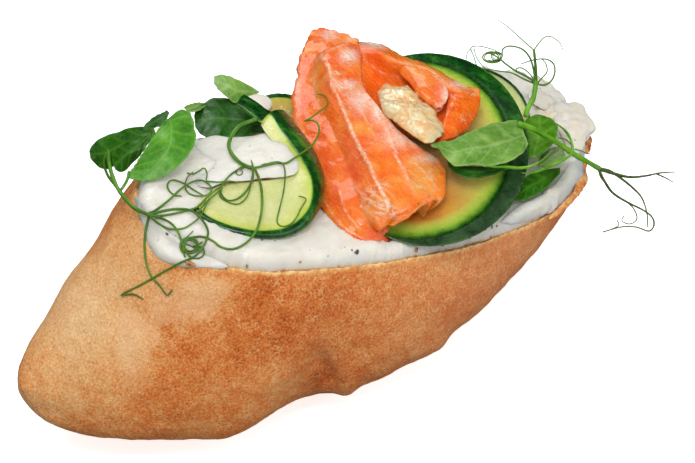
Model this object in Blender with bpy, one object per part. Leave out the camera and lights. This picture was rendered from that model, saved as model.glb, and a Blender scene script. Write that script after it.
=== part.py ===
"""Open sandwich on a bias-cut baguette end.

Heel of a baguette lying on its belly, cut on the bias; the cut face carries
cream cheese, sliced cucumber, folded salmon, a citrus morsel and pea shoots.
+X runs along the loaf from the nose to the thin tip, +Z is up, the origin is
the middle of the small flat the belly rests on.  Named sizes are millimetres.
"""
import bpy
import bmesh
import math
import numpy as np
from mathutils import Vector
from mathutils.bvhtree import BVHTree

for ob in list(bpy.data.objects):
    bpy.data.objects.remove(ob, do_unlink=True)

MM = 0.001

# ---- loaf ---------------------------------------------------------------
NOSE_X, TIP_X = -24.4, 113.8      # ends along the axis
BASE_X = 28.0                     # middle of the resting flat
HALF_NEAR, HALF_FAR = 29.1, 28.4  # half widths either side of the axis
CROWN_H = 56.0                    # height of the uncut crown
NOSE_H = 21.4                     # height of the nose point
NOSE_NEAR, NOSE_FAR = 45.0, 51.0  # how long the nose narrows in plan
NOSE_TOP, NOSE_SOLE = 41.0, 38.3  # how long it rounds above and below
NOSE_POW, NOSE_TOP_POW = 1.60, 1.07
TIP_LEN, TIP_POW = 67.6, 2.42     # taper toward the thin tip
SOLE_LIFT, SOLE_LIFT_X = 17.4, 37.5
BOW = 4.6                         # sideways bow of the axis
WAIST_IN, WAIST_X, WAIST_L = 0.101, 8.0, 18.0
MID = 0.341                       # height of the widest line, 0..1
Y_POW, UP_POW, LOW_POW = 2.2, 1.75, 2.21
CUT_Z, CUT_TILT = 49.5, math.radians(16.14)
SOLE_CUT = 0.8                    # depth pressed flat under the belly
# dents and swells of the crust: centre, radii, depth (+ is inward)
DENTS = [
    ((21.5, -27.0, 10.0), (8.5, 14.0, 14.0), 3.2),     # waist notch
    ((25.0, -28.0, 24.0), (8.0, 12.0, 10.0), 1.6),     # crease above it
    ((-10.0, -14.0, 6.0), (16.0, 16.0, 12.0), 2.2),    # tuck under the heel
    ((2.0, -7.0, 46.0), (11.0, 10.0, 9.0), -3.6),       # shoulder of the cut
    ((47.0, -30.0, 20.0), (16.0, 12.0, 12.0), -0.9),   # swell past the waist
]

# ---- drafting sheet used to place the toppings --------------------------
SHEET_TURN, SHEET_RISE, SHEET_FAR = math.radians(-39.6), math.radians(42.93), 550.0
SHEET_AT = np.array([50.0, 0.0, 22.27])
BACK = np.array([math.sin(SHEET_TURN) * math.cos(SHEET_RISE), -math.cos(SHEET_TURN) * math.cos(SHEET_RISE), math.sin(SHEET_RISE)])
RIGHT = np.array([math.cos(SHEET_TURN), math.sin(SHEET_TURN), 0.0])
UP = np.cross(BACK, RIGHT)
CUT_N = np.array([math.sin(CUT_TILT), 0.0, math.cos(CUT_TILT)])
CUT_P = np.array([0.0, 0.0, CUT_Z])


def sheet(a, b, d):
    """Point a mm from the left and b mm from the top of the slanted sheet,
    d mm in front of it (the sheet lines fan from one far point)."""
    k = 1.0 - d / SHEET_FAR
    return SHEET_AT + (a - 69.5) * k * RIGHT + (46.3 - b) * k * UP + d * BACK


def lay(a, b, h):
    """Where the sheet line at a, b meets the plane h mm above the cut."""
    p0, p1 = sheet(a, b, 0.0), sheet(a, b, 60.0)
    d = p1 - p0
    t = ((CUT_P + h * CUT_N - p0) @ CUT_N) / (d @ CUT_N)
    return p0 + t * d


def height(p):
    return (np.asarray(p) - CUT_P) @ CUT_N


def ease(t, n):
    t = np.clip(t, 0.0, 1.0)
    return (1.0 - (1.0 - t) ** n) ** (1.0 / n)


def section(x):
    t, e = x - NOSE_X, ease((TIP_X - x) / TIP_LEN, TIP_POW)
    wn = HALF_NEAR * ease(t / NOSE_NEAR, NOSE_POW) * e * (1.0 - WAIST_IN * math.exp(-((x - WAIST_X) / WAIST_L) ** 2))
    wf = HALF_FAR * ease(t / NOSE_FAR, NOSE_POW) * e
    zt = NOSE_H + (CROWN_H - NOSE_H) * ease(t / NOSE_TOP, NOSE_TOP_POW)
    lift = SOLE_LIFT * np.clip((x - SOLE_LIFT_X) / (TIP_X - SOLE_LIFT_X), 0.0, 1.0) ** 2
    zb = NOSE_H * (1.0 - ease(t / NOSE_SOLE, 2.0)) + lift
    yc = BOW * ((x - 45.0) / 60.0) ** 2
    return wn, wf, zt, zb, yc


def loaf_point(x, a):
    wn, wf, zt, zb, yc = section(x)
    c, s = math.cos(a), math.sin(a)
    zm = zb + (zt - zb) * MID
    y = yc + (wn if c < 0 else wf) * math.copysign(abs(c) ** (2 / Y_POW), c)
    z = zm + (zt - zm if s >= 0 else zm - zb) * math.copysign(abs(s) ** (2 / (UP_POW if s >= 0 else LOW_POW)), s)
    p = np.array([x, y, z])
    mid = np.array([x, yc, zm])
    out = p - mid
    n = np.linalg.norm(out)
    if n > 1e-6:
        for ctr, rad, dep in DENTS:
            q = (p - np.array(ctr)) / np.array(rad)
            p = p - out / n * dep * math.exp(-float(q @ q))
    return p


def in_loaf(p):
    """Is the point inside the plain (undented) loaf?"""
    x, y, z = p
    if x <= NOSE_X + 0.2 or x >= TIP_X - 0.2:
        return False
    wn, wf, zt, zb, yc = section(x)
    zm = zb + (zt - zb) * MID
    w = wn if y < yc else wf
    h, k = (zt - zm, UP_POW) if z > zm else (zm - zb, LOW_POW)
    return abs((y - yc) / max(w, 0.1)) ** Y_POW + abs((z - zm) / max(h, 0.1)) ** k < 1.0


ORIGIN = np.array([BASE_X, 0.0, SOLE_CUT])


def material(name, rgb, rough=0.6):
    m = bpy.data.materials.new(name)
    m.use_nodes = True
    b = m.node_tree.nodes["Principled BSDF"]
    b.inputs["Base Color"].default_value = (*rgb, 1.0)
    b.inputs["Roughness"].default_value = rough
    return m


CRUST = material("bread_crust", (0.72, 0.42, 0.20), 0.6)
CREAM = material("cream_cheese", (0.93, 0.91, 0.86), 0.5)
SALMON = material("salmon_flesh", (0.93, 0.42, 0.25), 0.3)
CITRUS = material("citrus_pulp", (0.92, 0.78, 0.60), 0.25)
CUKE = material("cucumber_flesh", (0.45, 0.58, 0.22), 0.35)
LEAF = material("pea_leaf", (0.16, 0.36, 0.10), 0.5)
STEM = material("pea_stem", (0.25, 0.46, 0.14), 0.5)


def add(name, verts, faces, mat):
    """Make one named solid from millimetre points."""
    me = bpy.data.meshes.new(name)
    me.from_pydata([tuple((np.asarray(v) - ORIGIN) * MM) for v in verts], [], faces)
    bm = bmesh.new()
    bm.from_mesh(me)
    bmesh.ops.remove_doubles(bm, verts=bm.verts, dist=1e-6)
    bmesh.ops.recalc_face_normals(bm, faces=bm.faces)
    bm.to_mesh(me)
    bm.free()
    for p in me.polygons:
        p.use_smooth = True
    me.materials.append(mat)
    ob = bpy.data.objects.new(name, me)
    bpy.context.scene.collection.objects.link(ob)
    return ob


def trim(ob, point, normal):
    """Cut a solid with a plane, keep the side the normal points away from, close it flat."""
    bm = bmesh.new()
    bm.from_mesh(ob.data)
    bmesh.ops.bisect_plane(bm, geom=bm.verts[:] + bm.edges[:] + bm.faces[:], dist=1e-7,
                           plane_co=Vector((np.asarray(point) - ORIGIN) * MM), plane_no=Vector(normal), clear_outer=True)
    rim = [e for e in bm.edges if e.is_boundary]
    bmesh.ops.holes_fill(bm, edges=rim, sides=0)
    bmesh.ops.remove_doubles(bm, verts=bm.verts, dist=2e-6)
    bmesh.ops.recalc_face_normals(bm, faces=bm.faces)
    bm.to_mesh(ob.data)
    bm.free()


def loft(rings, tip0=None, tip1=None):
    """Faces over equal rings, closed by a point or a flat fan at each end."""
    n = len(rings[0])
    verts = [p for r in rings for p in r]
    faces = [(i * n + k, i * n + (k + 1) % n, (i + 1) * n + (k + 1) % n, (i + 1) * n + k)
             for i in range(len(rings) - 1) for k in range(n)]
    for tip, ring in ((tip0, 0), (tip1, len(rings) - 1)):
        if tip is None:
            tip = np.mean(rings[ring], axis=0)
        verts.append(tip)
        t = len(verts) - 1
        faces += [(ring * n + k, ring * n + (k + 1) % n, t) for k in range(n)]
    return verts, faces


def plate(front, thick, name, mat, edge=0.25):
    """Closed thick sheet from a grid of front points; thick is a vector, or a
    function of (i, j) giving one; the rim is drawn in a little at mid depth."""
    R, C = len(front), len(front[0])
    tv = thick if callable(thick) else (lambda i, j: thick)
    back = [[front[i][j] + tv(i, j) for j in range(C)] for i in range(R)]
    verts = [p for r in front for p in r] + [p for r in back for p in r]
    N = R * C
    faces = []
    for i in range(R - 1):
        for j in range(C - 1):
            a = i * C + j
            faces.append((a, a + 1, a + C + 1, a + C))
            faces.append((N + a, N + a + C, N + a + C + 1, N + a + 1))
    loop = [(0, j) for j in range(C)] + [(i, C - 1) for i in range(1, R)] + \
           [(R - 1, j) for j in range(C - 2, -1, -1)] + [(i, 0) for i in range(R - 2, 0, -1)]
    L = len(loop)
    mid = [(front[i][j] + back[i][j]) / 2 for i, j in loop]
    ctr = np.mean(mid, axis=0)
    base = len(verts)
    verts += [m + (m - ctr) / max(np.linalg.norm(m - ctr), 1e-6) * edge for m in mid]
    for k in range(L):
        a = loop[k][0] * C + loop[k][1]
        b = loop[(k + 1) % L][0] * C + loop[(k + 1) % L][1]
        m, n = base + k, base + (k + 1) % L
        faces.append((a, b, n, m))
        faces.append((m, n, N + b, N + a))
    return add(name, verts, faces, mat)


def curve(points, n):
    """Smooth run of n+1 points through the given points."""
    P = [np.asarray(p, float) for p in points]
    P = [2 * P[0] - P[1]] + P + [2 * P[-1] - P[-2]]
    out = []
    m = len(P) - 3
    for k in range(n + 1):
        t = k / n * m
        i = min(int(t), m - 1)
        f = t - i
        a, b, c, d = P[i], P[i + 1], P[i + 2], P[i + 3]
        out.append(0.5 * (2 * b + (c - a) * f + (2 * a - 5 * b + 4 * c - d) * f * f + (3 * b - a - 3 * c + d) * f ** 3))
    return out


def stem(name, points, r0, r1, n=16, sides=5):
    """Round stem along a run of points, thinning from r0 to r1."""
    path = curve(points, n)
    rings, side = [], None
    for k, p in enumerate(path):
        t = path[min(k + 1, n)] - path[max(k - 1, 0)]
        t = t / np.linalg.norm(t)
        if side is None:
            side = np.cross(t, [0.3, 0.5, 0.8])
        side = side - (side @ t) * t
        side = side / np.linalg.norm(side)
        oth = np.cross(t, side)
        r = r0 + (r1 - r0) * k / n
        rings.append([p + r * (math.cos(a) * side + math.sin(a) * oth)
                      for a in [2 * math.pi * i / sides for i in range(sides)]])
    v, f = loft(rings)
    return add(name, v, f, STEM)


def leaf(name, base, tip, side, wide, belly=0.5, cup=0.6, arch=1.5, thick=0.6):
    """Blade from base to tip; side is the direction its width runs, belly is
    where it is widest, cup folds it along the midrib, arch bows it."""
    base, tip, side = (np.asarray(p, float) for p in (base, tip, side))
    ax = tip - base
    side = side - (side @ ax) * ax / (ax @ ax)
    side = side / np.linalg.norm(side)
    nor = np.cross(ax, side)
    nor = nor / np.linalg.norm(nor)
    if nor @ BACK < 0:
        nor = -nor
    k = math.log(0.5) / math.log(belly)
    rows = []
    for i in range(9):
        t = 0.02 + 0.96 * i / 8
        w = wide / 2 * math.sin(math.pi * t ** k) ** 0.62
        w = max(w, 0.35)
        mid = base + ax * t + nor * arch * math.sin(math.pi * t)
        rows.append([mid + side * w * s + nor * cup * (w / (wide / 2)) * s * s for s in (-1, -0.6, -0.2, 0.2, 0.6, 1)])
    return plate(rows, -thick * nor, name, LEAF, 0.12)


def slice_round(name, centre, e1, e2, through, peel=0.5, n=32):
    """Cucumber slice: face spanned by the half axes e1, e2, cut through by
    the vector through, its peel swelling by peel at mid thickness."""
    rings = []
    for f, s in ((0.0, 0.93), (0.0, 1.0), (0.5, 1.0), (1.0, 1.0), (1.0, 0.93)):
        sw = 1.0 + (peel / np.linalg.norm(e1) if f == 0.5 else 0.0)
        rings.append([centre + through * f + s * sw * (math.cos(a) * e1 + math.sin(a) * e2)
                      for a in [2 * math.pi * k / n for k in range(n)]])
    v, f = loft(rings)
    return add(name, v, f, CUKE)


# ---- bread ---------------------------------------------------------------
STATIONS, ROUND = 40, 40
xs = [NOSE_X + (TIP_X - NOSE_X) * (0.5 - 0.5 * math.cos(math.pi * i / STATIONS)) for i in range(1, STATIONS)]
rings = [[loaf_point(x, 2 * math.pi * (k + 0.5) / ROUND) for k in range(ROUND)] for x in xs]
wn, wf, zt, zb, yc = section(NOSE_X + 0.05)
tip_yc = BOW * ((TIP_X - 45.0) / 60.0) ** 2
v, f = loft(rings, np.array([NOSE_X, BOW * (70.0 / 60.0) ** 2, NOSE_H]), np.array([TIP_X, tip_yc, SOLE_LIFT + (CROWN_H - SOLE_LIFT) * 0.3]))
bread = add("bread", v, f, CRUST)
trim(bread, CUT_P, CUT_N)
trim(bread, (0.0, 0.0, SOLE_CUT), (0.0, 0.0, -1.0))

# ---- cucumber --------------------------------------------------------------
# big bias slice, leaning back; (a, b, height) of its middle, right and top
BIG_MID, BIG_RIGHT, BIG_TOP = (85.2, 29.0, 8.4), (102.3, 28.4, 10.6), (84.6, 11.4, 13.2)
SMALL_MID, SMALL_RIGHT, SMALL_TOP = (89.0, 25.4, 6.0), (105.8, 25.4, 7.4), (89.0, 11.6, 9.8)
mid = lay(*BIG_MID)
slice_round("cucumber_right", mid, lay(*BIG_RIGHT) - mid, lay(*BIG_TOP) - mid, 3.4 * RIGHT - 0.5 * UP - 2.8 * BACK)
mid = lay(*SMALL_MID)
slice_round("cucumber_right_back", mid, lay(*SMALL_RIGHT) - mid, lay(*SMALL_TOP) - mid, 1.0 * RIGHT + 0.4 * UP - 2.4 * BACK, 0.3, 28)
mid = lay(54.4, 23.2, 5.2)
slice_round("cucumber_mid_back", mid, lay(59.2, 23.2, 5.4) - mid, lay(54.4, 18.6, 7.4) - mid, -0.9 * UP - 1.2 * BACK, 0.2, 24)

# thin twisted slice: outer rim a, b, height, inner line a, b, height
TWIST = [
    (48.8, 18.8, 10.8, 47.2, 20.8, 10.8), (54.0, 22.2, 11.0, 52.0, 24.2, 10.6), (58.4, 24.2, 10.8, 54.6, 27.0, 10.4),
    (61.8, 28.0, 10.2, 56.0, 30.0, 9.0), (64.2, 33.0, 9.4, 54.6, 34.0, 8.4), (64.8, 38.6, 7.6, 52.4, 36.0, 7.6),
    (61.6, 45.0, 4.8, 49.8, 36.4, 6.4), (56.4, 47.6, 3.6, 47.4, 36.6, 5.8), (50.0, 47.2, 3.4, 45.2, 36.8, 5.4),
    (43.2, 45.6, 3.4, 42.6, 37.6, 4.8), (38.2, 42.2, 3.6, 39.6, 39.4, 4.0)]
outer = curve([lay(*t[:3]) for t in TWIST], 26)
inner = curve([lay(*t[3:]) for t in TWIST], 26)
rows = [[o + (i - o) * s for s in (0.0, 0.2, 0.5, 0.8, 1.0)] for o, i in zip(outer, inner)]
plate(rows, 0.7 * RIGHT - 0.5 * UP - 1.7 * BACK, "cucumber_left", CUKE, 0.2)

# ---- salmon ----------------------------------------------------------------
# front fold: each row's left a, b, height, right a, b, height, and swell
FOLD = [
    (61.6, 6.8, 15.4, 74.2, 8.8, 16.6, 2.0), (60.6, 10.4, 13.4, 72.8, 12.0, 15.4, 4.0),
    (59.6, 16.0, 10.8, 72.2, 16.8, 14.0, 5.5), (59.0, 21.6, 8.6, 76.0, 21.4, 13.2, 5.5),
    (59.4, 27.0, 7.0, 80.8, 27.2, 11.8, 5.4), (60.8, 32.0, 5.8, 87.0, 31.2, 10.8, 5.0),
    (62.4, 37.0, 4.8, 89.2, 36.0, 9.6, 4.6), (63.8, 41.6, 4.2, 88.8, 39.8, 8.2, 4.4),
    (65.8, 45.2, 3.7, 81.2, 42.6, 6.2, 3.0), (68.2, 47.6, 3.2, 77.4, 45.6, 5.0, 1.6),
    (70.8, 49.0, 2.8, 77.4, 48.6, 3.2, 0.6)]
left = curve([lay(*r[:3]) for r in FOLD], 20)
right = curve([lay(*r[3:6]) for r in FOLD], 20)
swell = curve([(r[6], 0, 0) for r in FOLD], 20)
rows = []
for k in range(21):
    row = []
    for j in range(11):
        s = j / 10
        lines = 0.35 * math.sin(s * 15.0 + 0.25 * k)
        row.append(left[k] + (right[k] - left[k]) * s + BACK * (swell[k][0] * math.sin(math.pi * s) ** 0.7 + lines * math.sin(math.pi * s)))
    rows.append(row)
plate(rows, -2.6 * BACK + 0.5 * UP, "salmon_front", SALMON, 0.3)

# back fold: a wall that arches behind the citrus; top a, b, height, foot a, b, height
ARCH = [
    (71.6, 9.4, 13.4, 72.2, 12.2, 12.2), (77.2, 8.8, 15.6, 77.8, 20.4, 13.0), (82.4, 11.6, 15.6, 83.4, 23.4, 12.6),
    (87.0, 14.2, 15.8, 88.0, 25.2, 12.8), (91.2, 16.6, 16.2, 89.6, 27.4, 13.0), (95.4, 19.0, 15.8, 93.8, 26.4, 12.8)]
top = curve([lay(*r[:3]) for r in ARCH], 14)
foot = curve([lay(*r[3:]) for r in ARCH], 14)
rows = [[t + (b - t) * s + BACK * 1.2 * math.sin(math.pi * s) for s in (0.0, 0.2, 0.4, 0.6, 0.8, 1.0)] for t, b in zip(top, foot)]
plate(rows, -2.0 * BACK, "salmon_back", SALMON, 0.5)

# ---- citrus morsel -----------------------------------------------------------
bm = bmesh.new()
bmesh.ops.create_icosphere(bm, subdivisions=2, radius=1.0)
pts, fcs = [], [[q.index for q in fc.verts] for fc in bm.faces]
c = lay(82.5, 23.2, 16.4)
for q in bm.verts:
    w = np.array(q.co[:])
    rough = 1.0 + 0.07 * math.sin(5 * w[0] + 2) * math.sin(4 * w[1] + 1) + 0.06 * math.sin(7 * w[2])
    pts.append(c + rough * (5.6 * w[0] * (RIGHT - 0.35 * UP) + 4.6 * w[1] * (UP + 0.2 * RIGHT - 0.6 * BACK) + 3.2 * w[2] * BACK))
bm.free()
add("citrus", pts, fcs, CITRUS)

# ---- pea shoots ----------------------------------------------------------------
leaf("leaf_a", sheet(31.2, 26.6, 24.0), sheet(17.8, 31.2, 22.0), UP + 0.25 * RIGHT, 8.4, 0.58, -0.6, 0.8)
leaf("leaf_b", sheet(33.6, 23.6, 25.0), sheet(27.0, 35.4, 30.5), RIGHT + 0.5 * UP, 10.4, 0.5, 0.9, 1.2)
leaf("leaf_c", sheet(31.4, 25.2, 20.5), sheet(34.0, 21.8, 18.5), RIGHT - 0.2 * UP, 2.6, 0.5, 0.2, 0.3)
leaf("leaf_d", lay(54.0, 24.6, 6.8), lay(39.0, 23.4, 5.0), UP, 7.8, 0.5, -0.4, 0.6)
leaf("leaf_e", lay(52.0, 18.4, 7.2), lay(42.6, 15.4, 8.0), UP - 0.4 * RIGHT, 4.4, 0.5, 0.4, 0.6)
leaf("leaf_f", lay(86.0, 29.0, 14.2), lay(105.8, 27.0, 13.6), UP + 0.1 * RIGHT, 7.8, 0.6, 0.7, 1.2)
leaf("leaf_g", lay(89.6, 33.2, 11.2), lay(101.6, 34.0, 11.4), UP, 2.8, 0.5, 0.3, 0.4)
leaf("leaf_h", lay(107.2, 30.2, 8.0), lay(110.8, 23.8, 8.2), RIGHT, 5.4, 0.55, 0.4, 0.6)
leaf("leaf_i", lay(108.6, 33.0, 5.0), lay(112.8, 30.0, 5.2), UP + 0.5 * RIGHT, 3.4, 0.55, 0.3, 0.4)
leaf("leaf_j", lay(103.4, 39.4, 4.6), lay(111.6, 34.2, 4.2), RIGHT + 0.9 * UP, 5.4, 0.55, 0.4, 0.6)

stem("stem_left", [sheet(*p) for p in (
    (21.2, 30.6, 27.0), (22.4, 35.6, 31.5), (24.0, 38.4, 35.5), (26.6, 41.4, 40.5), (29.6, 43.0, 43.5),
    (29.0, 47.0, 45.5), (29.0, 51.2, 45.5), (30.0, 54.8, 44.0), (32.0, 57.2, 44.0), (33.8, 58.8, 44.5))], 0.65, 0.35, 22)
stem("stem_middle", [lay(*p) for p in (
    (49.4, 24.6, 10.4), (46.8, 26.0, 9.0), (45.8, 29.4, 8.0), (47.4, 32.0, 8.4), (50.6, 33.4, 9.8),
    (54.0, 33.0, 11.4), (57.6, 31.8, 12.2), (60.8, 30.6, 12.6), (63.0, 28.6, 13.0), (63.6, 25.8, 13.0))], 0.65, 0.35, 20)
stem("stem_right", [lay(*p) for p in (
    (105.4, 25.1, 12.0), (109.4, 27.2, 10.6), (115.0, 30.6, 9.0), (119.6, 33.6, 8.6), (125.8, 35.4, 8.4),
    (131.8, 34.8, 8.4), (135.0, 34.4, 8.4))], 0.85, 0.35, 16)
stem("stem_right_low", [sheet(*p) for p in (
    (119.4, 34.8, -3.6), (122.4, 38.6, -4.0), (125.6, 40.6, -4.0), (128.8, 42.4, -4.5), (130.8, 44.8, -5.0),
    (128.8, 46.6, -5.0), (124.2, 45.8, -5.0), (120.6, 46.4, -5.0))], 0.45, 0.3, 18)
stem("stem_top", [sheet(*p) for p in (
    (106.4, 22.2, -13.0), (106.8, 19.8, -14.4), (107.2, 16.6, -16.0), (106.8, 10.2, -18.0), (103.2, 7.2, -19.0), (99.6, 4.2, -20.0))],
     0.65, 0.3, 14)

# ---- cream cheese ----------------------------------------------------------
CREAM_C = (50.0, 0.5)             # middle of the spread
CREAM_GAP, CREAM_T, CREAM_INSET = 0.3, 2.7, 0.9
# swells of the spread: middle, radius, rise; the last ones prop up the toppings
LUMPS = [((104.0, 10.0), 7.0, 3.2), ((104.5, -3.0), 6.0, 2.6), ((98.0, 17.0), 6.0, 2.2),
         ((56.0, 8.0), 13.0, 6.5), ((70.0, 12.0), 12.0, 7.0), ((24.0, 10.0), 9.0, 3.0)]


def on_cut(x, y, h):
    return np.array([x, y, CUT_Z - math.tan(CUT_TILT) * x]) + h * CUT_N


def cut_reach(a):
    """How far the cut face reaches from its middle in direction a."""
    lo, hi = 0.0, 90.0
    for _ in range(40):
        m = (lo + hi) / 2
        x, y = CREAM_C[0] + m * math.cos(a), CREAM_C[1] + m * math.sin(a)
        if in_loaf(on_cut(x, y, 0.0)):
            lo = m
        else:
            hi = m
    return lo


def cream_top(x, y, r):
    h = CREAM_T * (1.0 - r ** 6) ** 0.5 + 0.5
    for (cx, cy), rad, up in LUMPS:
        h += up * math.exp(-((x - cx) ** 2 + (y - cy) ** 2) / rad ** 2) * (1.0 - r ** 8)
    return h


ARMS = 60
SINK_CLEAR, SINK_LEAST = 0.4, 0.5   # air under a topping, least cream left
beds = []
for ob in bpy.data.objects:
    if ob.name != "bread":
        ob.data.calc_loop_triangles()
        beds.append(BVHTree.FromPolygons([v.co for v in ob.data.vertices], [tuple(t.vertices) for t in ob.data.loop_triangles]))


def room(x, y, reach):
    """Height free above the cut around x, y before any topping."""
    free = 99.0
    for q in range(17):
        a, w = 2 * math.pi * q / 8, reach * (0.0 if q == 16 else 1.0 if q < 8 else 0.5)
        p = (on_cut(x + w * math.cos(a), y + w * math.sin(a), 0.0) - ORIGIN) * MM
        for tree in beds:
            hit = tree.ray_cast(Vector(p), Vector(CUT_N))
            if hit[0] is not None:
                free = min(free, hit[3] / MM)
    return free


def cream_at(x, y, r):
    h = cream_top(x, y, r)
    return CREAM_GAP + max(SINK_LEAST, min(h, room(x, y, 2.6) - CREAM_GAP - SINK_CLEAR))


tops, rim = [], []
for r in (0.1, 0.2, 0.3, 0.4, 0.5, 0.6, 0.7, 0.79, 0.87, 0.94, 0.985, 1.0):
    tr = []
    for k in range(ARMS):
        a = 2 * math.pi * k / ARMS
        reach = (cut_reach(a) - CREAM_INSET) * r
        x, y = CREAM_C[0] + reach * math.cos(a), CREAM_C[1] + reach * math.sin(a)
        tr.append(on_cut(x, y, cream_at(x, y, r)))
        if r == 1.0:
            rim.append(on_cut(x, y, CREAM_GAP))
    tops.append(tr)
v, f = loft(tops + [rim], on_cut(*CREAM_C, cream_at(*CREAM_C, 0.0)), on_cut(*CREAM_C, CREAM_GAP))
add("cream_cheese", v, f, CREAM)
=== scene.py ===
"""Looks of the open sandwich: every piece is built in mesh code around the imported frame.

Lengths are millimetres in the loaf's own layout (x along the loaf, z up, the cut
slanting down toward the thin tip); put() moves them to the frame's metres.
"""
import bpy
import bmesh
import math
import numpy as np
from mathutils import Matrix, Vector
from mathutils.bvhtree import BVHTree


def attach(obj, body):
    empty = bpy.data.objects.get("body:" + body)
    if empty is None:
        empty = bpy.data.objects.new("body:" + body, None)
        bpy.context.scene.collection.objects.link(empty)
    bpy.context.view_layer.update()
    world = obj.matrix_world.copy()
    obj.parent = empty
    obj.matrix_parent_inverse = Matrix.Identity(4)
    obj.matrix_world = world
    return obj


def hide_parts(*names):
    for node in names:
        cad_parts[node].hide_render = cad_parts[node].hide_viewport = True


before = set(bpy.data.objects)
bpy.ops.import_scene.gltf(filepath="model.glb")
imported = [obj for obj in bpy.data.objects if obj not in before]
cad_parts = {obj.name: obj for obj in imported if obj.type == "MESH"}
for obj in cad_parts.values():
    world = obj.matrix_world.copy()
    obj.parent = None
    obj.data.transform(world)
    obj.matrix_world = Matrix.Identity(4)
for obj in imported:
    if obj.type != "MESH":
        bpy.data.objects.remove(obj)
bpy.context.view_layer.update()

MM = 0.001
ORIGIN = np.array([28.0, 0.0, 0.8])

# ---- the loaf, as in the part ---------------------------------------------
NOSE_X, TIP_X = -24.4, 113.8
HALF_NEAR, HALF_FAR = 29.1, 28.4
CROWN_H, NOSE_H = 56.0, 21.4
NOSE_NEAR, NOSE_FAR = 45.0, 51.0
NOSE_TOP, NOSE_SOLE = 41.0, 38.3
NOSE_POW, NOSE_TOP_POW = 1.60, 1.07
TIP_LEN, TIP_POW = 67.6, 2.42
SOLE_LIFT, SOLE_LIFT_X = 17.4, 37.5
BOW = 4.6
WAIST_IN, WAIST_X, WAIST_L = 0.101, 8.0, 18.0
MID = 0.341
Y_POW, UP_POW, LOW_POW = 2.2, 1.75, 2.21
CUT_Z, CUT_TILT = 49.5, math.radians(16.14)
SOLE_CUT = 0.8
DENTS = [
    ((21.5, -27.0, 10.0), (8.5, 14.0, 14.0), 3.2),
    ((25.0, -28.0, 24.0), (8.0, 12.0, 10.0), 1.6),
    ((-10.0, -14.0, 6.0), (16.0, 16.0, 12.0), 2.2),
    ((2.0, -7.0, 46.0), (11.0, 10.0, 9.0), -3.6),
    ((47.0, -30.0, 20.0), (16.0, 12.0, 12.0), -0.9),
]

# ---- slanted drafting sheet: a to the right, b down, in fifths of a mm ------
SHEET_TURN, SHEET_RISE, SHEET_FAR = math.radians(-39.6), math.radians(42.93), 550.0
SHEET_AT = np.array([50.0, 0.0, 22.27])
BACK = np.array([math.sin(SHEET_TURN) * math.cos(SHEET_RISE), -math.cos(SHEET_TURN) * math.cos(SHEET_RISE), math.sin(SHEET_RISE)])
RIGHT = np.array([math.cos(SHEET_TURN), math.sin(SHEET_TURN), 0.0])
UP = np.cross(BACK, RIGHT)
CUT_N = np.array([math.sin(CUT_TILT), 0.0, math.cos(CUT_TILT)])
CUT_P = np.array([0.0, 0.0, CUT_Z])
FIFTH = 0.2


def sheet(a, b, d):
    """Points at a, b on the sheet and d mm in front of it."""
    a, b, d = np.broadcast_arrays(np.asarray(a, float), np.asarray(b, float), np.asarray(d, float))
    k = 1.0 - d / SHEET_FAR
    return SHEET_AT + ((a * FIFTH - 69.5) * k)[..., None] * RIGHT + ((46.3 - b * FIFTH) * k)[..., None] * UP + d[..., None] * BACK


def lay(a, b, h):
    """Points where the sheet lines at a, b meet the plane h mm above the cut."""
    a, b, h = np.broadcast_arrays(np.asarray(a, float), np.asarray(b, float), np.asarray(h, float))
    p0, p1 = sheet(a, b, 0.0), sheet(a, b, 60.0)
    d = p1 - p0
    t = (((CUT_P - p0) @ CUT_N) + h) / (d @ CUT_N)
    return p0 + t[..., None] * d


def depth(p):
    return (np.asarray(p) - SHEET_AT) @ BACK


def on_sheet(p):
    """a, b of points."""
    q = np.asarray(p) - SHEET_AT
    k = 1.0 - (q @ BACK) / SHEET_FAR
    return (69.5 + (q @ RIGHT) / k) / FIFTH, (46.3 - (q @ UP) / k) / FIFTH


def height(p):
    return (np.asarray(p) - CUT_P) @ CUT_N


# ---- numbers ----------------------------------------------------------------
class Noise:
    """Smooth seeded noise, about -1 to 1, one lattice step per unit."""

    def __init__(self, seed):
        r = np.random.RandomState(seed)
        p = r.permutation(256)
        self.perm = np.concatenate([p, p])
        g = r.normal(size=(256, 3))
        self.g = g / np.linalg.norm(g, axis=1)[:, None]

    def __call__(self, p):
        p = np.asarray(p, float)
        shape = p.shape[:-1]
        p = p.reshape(-1, 3)
        i = np.floor(p).astype(int)
        f = p - i
        i &= 255
        u = f * f * f * (f * (f * 6 - 15) + 10)
        out = np.zeros(len(p))
        for x in (0, 1):
            for y in (0, 1):
                for z in (0, 1):
                    h = self.perm[self.perm[self.perm[(i[:, 0] + x) & 255] + ((i[:, 1] + y) & 255)] + ((i[:, 2] + z) & 255)]
                    w = (u[:, 0] if x else 1 - u[:, 0]) * (u[:, 1] if y else 1 - u[:, 1]) * (u[:, 2] if z else 1 - u[:, 2])
                    out += w * (self.g[h] * (f - [x, y, z])).sum(1)
        return (out * 1.7).reshape(shape)


NOISES = [Noise(11 + 7 * k) for k in range(6)]


def fbm(p, size, octaves=3, seed=0, gain=0.5):
    """Layered noise whose largest lumps are about size mm across."""
    out, amp, q = 0.0, 1.0, np.asarray(p, float) / size
    for k in range(octaves):
        out = out + amp * NOISES[(seed + k) % 6](q + 13.7 * seed)
        amp, q = amp * gain, q * 2.03
    return out


def ease(t, n):
    t = np.clip(t, 0.0, 1.0)
    return (1.0 - (1.0 - t) ** n) ** (1.0 / n)


def smooth(a, b, x):
    t = np.clip((np.asarray(x, float) - a) / (b - a), 0.0, 1.0)
    return t * t * (3 - 2 * t)


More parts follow.
